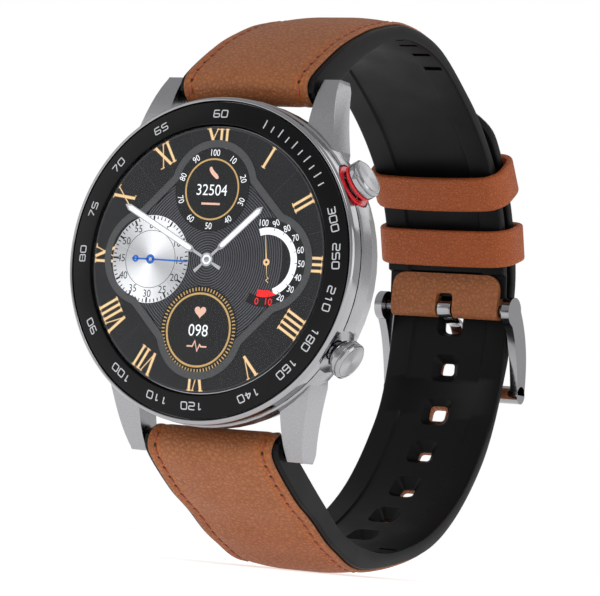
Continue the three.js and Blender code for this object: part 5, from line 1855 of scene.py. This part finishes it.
# ---------------------------------------------------------------- buckle
class SMARTWATCH_OT_buckle(bpy.types.Operator):
    """Makes the polished buckle with its curved arms, far bar and tongue"""

    bl_idname = "smartwatch.buckle"
    bl_label = "Buckle"

    def execute(self, context):
        _, long, first_hole = strap_halves()
        y, z = BUCKLE_BAR_Y, BUCKLE_BAR_Z
        reach_share = long.inner.share_at_height(z - 12, 0.4, first_hole)
        self.far = long.inner.off(reach_share, 2.0 + 1.0 + 0.3 + 1.2, -1)
        self.frame(y, z)
        self.tongue(long, first_hole, y, z)
        return {"FINISHED"}

    def frame(self, y, z):
        far, boss, far_radius = self.far, 2.3, 1.2
        stack_y = LOOP_BACK + KEEPER_STACK

        def bend(start, control, end, steps=20):
            shares = [k / steps for k in range(steps + 1)]
            return [start * (1 - t) ** 2 + control * (2 * t * (1 - t)) + end * t * t for t in shares]

        outer = bend(Vector((y + 0.4, z + boss)), Vector((stack_y + 2.4, z - 3.4)), far + Vector((far_radius, 0)))
        inner = bend(far - Vector((far_radius, 0)), Vector((stack_y - 2.2, z - 5)), Vector((y - 0.6, z - boss + 0.2)))
        inner_x, outer_x = 10.65, 11.95
        shape = None
        for low, high in ((inner_x, outer_x), (-outer_x, -inner_x)):
            arm = side_extruded(outer + inner, low, high)
            middle = (low + high) / 2
            ring = across_bar(boss, y, z, (high - low) / 2, 0)
            ring.transform(Matrix.Translation((middle, 0, 0)))
            arm = combined(arm, ring, "UNION")
            shape = arm if shape is None else combined(shape, arm, "UNION")
        shape = combined(shape, across_bar(far_radius + 0.2, far.x, far.y, outer_x, 0), "UNION")
        hole = across_bar(0.95, y, z, outer_x - 0.4, 0)
        shape = combined(shape, hole, "DIFFERENCE")
        bmesh.ops.dissolve_limit(shape, angle_limit=math.radians(0.5), verts=shape.verts, edges=shape.edges)
        body = "buckle_swing"
        arms = make_piece("buckle_arms_and_bar", shape, "polished steel", body, ["buckle_frame"], 30)
        edge_broken(arms, 0.22, 45, 3)

    def tongue(self, long, first_hole, y, z):
        far, far_radius, thick, wide = self.far, 1.2, 1.0, 2.3
        rest_y = far.x + far_radius + 0.2 + 0.3
        outside_y = LOOP_BACK + KEEPER_STACK + 0.2
        hole_z = long.inner.at(first_hole).y
        knots = [(y + 0.9, z - 0.8), (y + 2.0, hole_z + 0.35), (outside_y - 0.7, hole_z - 0.15)]
        knots += [(outside_y + 0.9, hole_z - 2.1), (rest_y + 0.9, far.y + 4.0), (rest_y + thick / 2, far.y)]
        knots += [(rest_y + thick / 2 - 0.3, far.y - 1.2)]
        line = Path(knots)
        sections = []
        steps = 60
        for k in range(steps + 1):
            share = k / steps
            base = line.at(share)
            direction = line.along(share)
            out = Vector((direction.y, -direction.x)) * -1
            left = (1 - share) * line.length
            tip = math.sqrt(max(0.05, 1 - max(0, 1 - left / 1.0) ** 2))
            half_x, half_h = wide / 2 * tip, thick / 2 * (0.55 + 0.45 * tip)
            corners = [(half_x, -half_h), (half_x, half_h), (-half_x, half_h), (-half_x, -half_h)]
            row = [Vector((p.x, base.x + out.x * p.y, base.y + out.y * p.y)) for p in fillet(corners, 0.4, 4)]
            sections.append(row)
        shape = lofted(sections)
        root = across_bar(1.45, y, z, wide / 2, 0.15)
        shape = combined(shape, root, "UNION")
        shape = combined(shape, across_bar(0.95, y, z, wide, 0), "DIFFERENCE")
        body = "tongue_swing"
        make_piece("buckle_pin_tongue", shape, "polished steel", body, ["buckle_tongue"], 40)


# ---------------------------------------------------------------- finishes on the CAD pieces
CAD_FINISHES = {
    "mid_case": "satin steel",
    "upper_case_ring": "polished steel",
    "bezel_ring": "bezel ceramic",
    "front_glass": "cover glass",
    "display_panel": "dial black",
    "sensor_window": "sensor glass",
    "back_cover": "moulded plastic",
    "back_gasket": "seal rubber",
    "inner_frame": "moulded plastic",
    "loudspeaker": "moulded plastic",
    "vibration_motor": "satin steel",
    "battery": "battery cell",
    "main_board": "circuit board",
    "sensor_board": "circuit board",
    "strap_lining": "strap rubber",
    "strap_leather": "strap leather",
    "keeper": "keeper leather",
    "buckle_tab": "keeper leather",
    "charging_contact": "gold contact",
    "button_seal": "seal rubber",
    "button_switch": "moulded plastic",
    "cap_ring": "enamel",
    "foot_ring": "enamel",
}
PLAIN_FINISH = "polished steel"


class SMARTWATCH_OT_cad_finishes(bpy.types.Operator):
    """Gives every piece of the frame its finish, inner and replaced ones too"""

    bl_idname = "smartwatch.cad_finishes"
    bl_label = "Finishes of the frame's pieces"

    def execute(self, context):
        for node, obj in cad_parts.items():
            names = [name for part, name in CAD_FINISHES.items() if part in node]
            obj.data.materials.clear()
            obj.data.materials.append(finish(names[-1] if names else PLAIN_FINISH))
            obj.data.polygons.foreach_set("use_smooth", [True] * len(obj.data.polygons))
            obj.data.set_sharp_from_angle(angle=math.radians(32))
        return {"FINISHED"}


# ---------------------------------------------------------------- stage
CAMERA_PLACE = Vector((229.9, -389.9, -38.0))
CAMERA_RIGHT = Vector((0.8694, 0.4843, 0.0971))
CAMERA_UP = Vector((-0.0472, -0.1142, 0.9923))
LENS = 191.8
SENSOR = 36.0
FLOOR_SIZE = 6.0


class SMARTWATCH_OT_stage(bpy.types.Operator):
    """Sets out the pale floor, the soft lights, the studio surround and the camera"""

    bl_idname = "smartwatch.stage"
    bl_label = "Floor, lights and camera"

    def execute(self, context):
        self.floor()
        self.lights()
        self.surround(context)
        self.camera(context)
        context.scene.view_settings.view_transform = "Standard"
        return {"FINISHED"}

    def floor(self):
        shape = bmesh.new()
        bmesh.ops.create_grid(shape, x_segments=1, y_segments=1, size=FLOOR_SIZE / 2)
        mesh = bpy.data.meshes.new("floor")
        shape.to_mesh(mesh)
        shape.free()
        mesh.transform(Matrix.Translation((0, 0, CAD_BOX[0][2] - 0.0002)))
        f = Finish("pale floor", (0.9, 0.9, 0.9), 0.6, 0.0, Emission_Color=(1, 1, 1), Emission_Strength=0.58)
        f.set("Roughness", f.level(f.noise(60, 2), 0.3, 0.7, 0.55, 0.7))
        mesh.materials.append(f.material)
        obj = bpy.data.objects.new("floor", mesh)
        bpy.context.scene.collection.objects.link(obj)

    def lights(self):
        target = Vector((0, 0.02, 0))
        for name, place, size, watts in (
            ("key", (0.5, -0.9, 0.9), 0.7, 3.4),
            ("fill", (-0.9, -0.6, 0.4), 0.8, 1.2),
            ("back", (0.3, 1.0, 0.7), 0.8, 1.6),
            ("side", (1.2, 0.1, 0.25), 0.6, 1.2),
        ):
            data = bpy.data.lights.new(name, "AREA")
            data.shape = "DISK"
            data.size = size
            data.energy = watts
            obj = bpy.data.objects.new(name, data)
            obj.location = place
            obj.rotation_euler = (target - Vector(place)).to_track_quat("-Z", "Y").to_euler()
            bpy.context.scene.collection.objects.link(obj)

    def surround(self, context):
        """White to the camera, and a studio of light and dark bands to the metal."""
        world = bpy.data.worlds.new("studio")
        context.scene.world = world
        world.use_nodes = True
        graph = Graph(world.node_tree)
        graph.tree.nodes.clear()
        direction = graph.node("ShaderNodeTexCoord").outputs["Generated"]
        split = graph.node("ShaderNodeSeparateXYZ", None, {0: direction}).outputs
        stops = [(0.0, 0.5), (0.4, 0.9), (0.49, 0.95), (0.56, 0.95), (0.64, 0.55), (0.85, 0.8)]
        height = Number(graph.tree, split["Z"]) * 0.5 + 0.5
        stops = [(place, (level,) * 3) for place, level in stops]
        studio = graph.node("ShaderNodeValToRGB", {"stops": stops}, {"Fac": height}).outputs["Color"]
        soft = graph.node("ShaderNodeBackground", None, {"Color": studio, "Strength": 0.66})
        white = graph.node("ShaderNodeBackground", None, {"Color": (1, 1, 1), "Strength": 1.0})
        seen = graph.node("ShaderNodeLightPath").outputs["Is Camera Ray"]
        mixed = graph.node("ShaderNodeMixShader", None, {0: seen, 1: soft.outputs[0], 2: white.outputs[0]})
        output = graph.node("ShaderNodeOutputWorld")
        graph.tree.links.new(mixed.outputs[0], output.inputs["Surface"])

    def camera(self, context):
        data = bpy.data.cameras.new("camera")
        data.lens = LENS
        data.sensor_width = SENSOR
        data.clip_start = 0.01
        obj = bpy.data.objects.new("camera", data)
        back = CAMERA_RIGHT.cross(CAMERA_UP).normalized()
        up = back.cross(CAMERA_RIGHT).normalized()
        turn = Matrix((CAMERA_RIGHT.normalized(), up, back)).transposed().to_4x4()
        obj.matrix_world = Matrix.Translation(CAMERA_PLACE * MM) @ turn
        context.scene.collection.objects.link(obj)
        context.scene.camera = obj


# ---------------------------------------------------------------- add-on
OPERATORS = (
    SMARTWATCH_OT_cad_finishes,
    SMARTWATCH_OT_case,
    SMARTWATCH_OT_front,
    SMARTWATCH_OT_dial,
    SMARTWATCH_OT_buttons,
    SMARTWATCH_OT_back,
    SMARTWATCH_OT_lining,
    SMARTWATCH_OT_leather,
    SMARTWATCH_OT_keepers,
    SMARTWATCH_OT_tab,
    SMARTWATCH_OT_buckle,
    SMARTWATCH_OT_stage,
)


class SMARTWATCH_PT_panel(bpy.types.Panel):
    """Sizes, colours and the steps that build the smartwatch"""

    bl_idname = "SMARTWATCH_PT_panel"
    bl_label = "Round smartwatch"
    bl_space_type = "VIEW_3D"
    bl_region_type = "UI"
    bl_category = "Smartwatch"

    def draw(self, context):
        for group in (context.scene.smartwatch_sizes, context.scene.smartwatch_colours):
            column = self.layout.column()
            for name in group.bl_rna.properties.keys():
                if name not in ("rna_type", "name"):
                    column.prop(group, name)
        for operator in OPERATORS:
            self.layout.operator(operator.bl_idname)


CLASSES = (SmartwatchSizes, SmartwatchColours, *OPERATORS, SMARTWATCH_PT_panel)


def register():
    for cls in CLASSES:
        bpy.utils.register_class(cls)
    bpy.types.Scene.smartwatch_sizes = bpy.props.PointerProperty(type=SmartwatchSizes)
    bpy.types.Scene.smartwatch_colours = bpy.props.PointerProperty(type=SmartwatchColours)


def unregister():
    del bpy.types.Scene.smartwatch_colours
    del bpy.types.Scene.smartwatch_sizes
    for cls in reversed(CLASSES):
        bpy.utils.unregister_class(cls)


def main():
    register()
    for operator in OPERATORS:
        group, name = operator.bl_idname.split(".")
        getattr(getattr(bpy.ops, group), name)()
    bpy.context.view_layer.update()


if __name__ == "__main__":
    main()
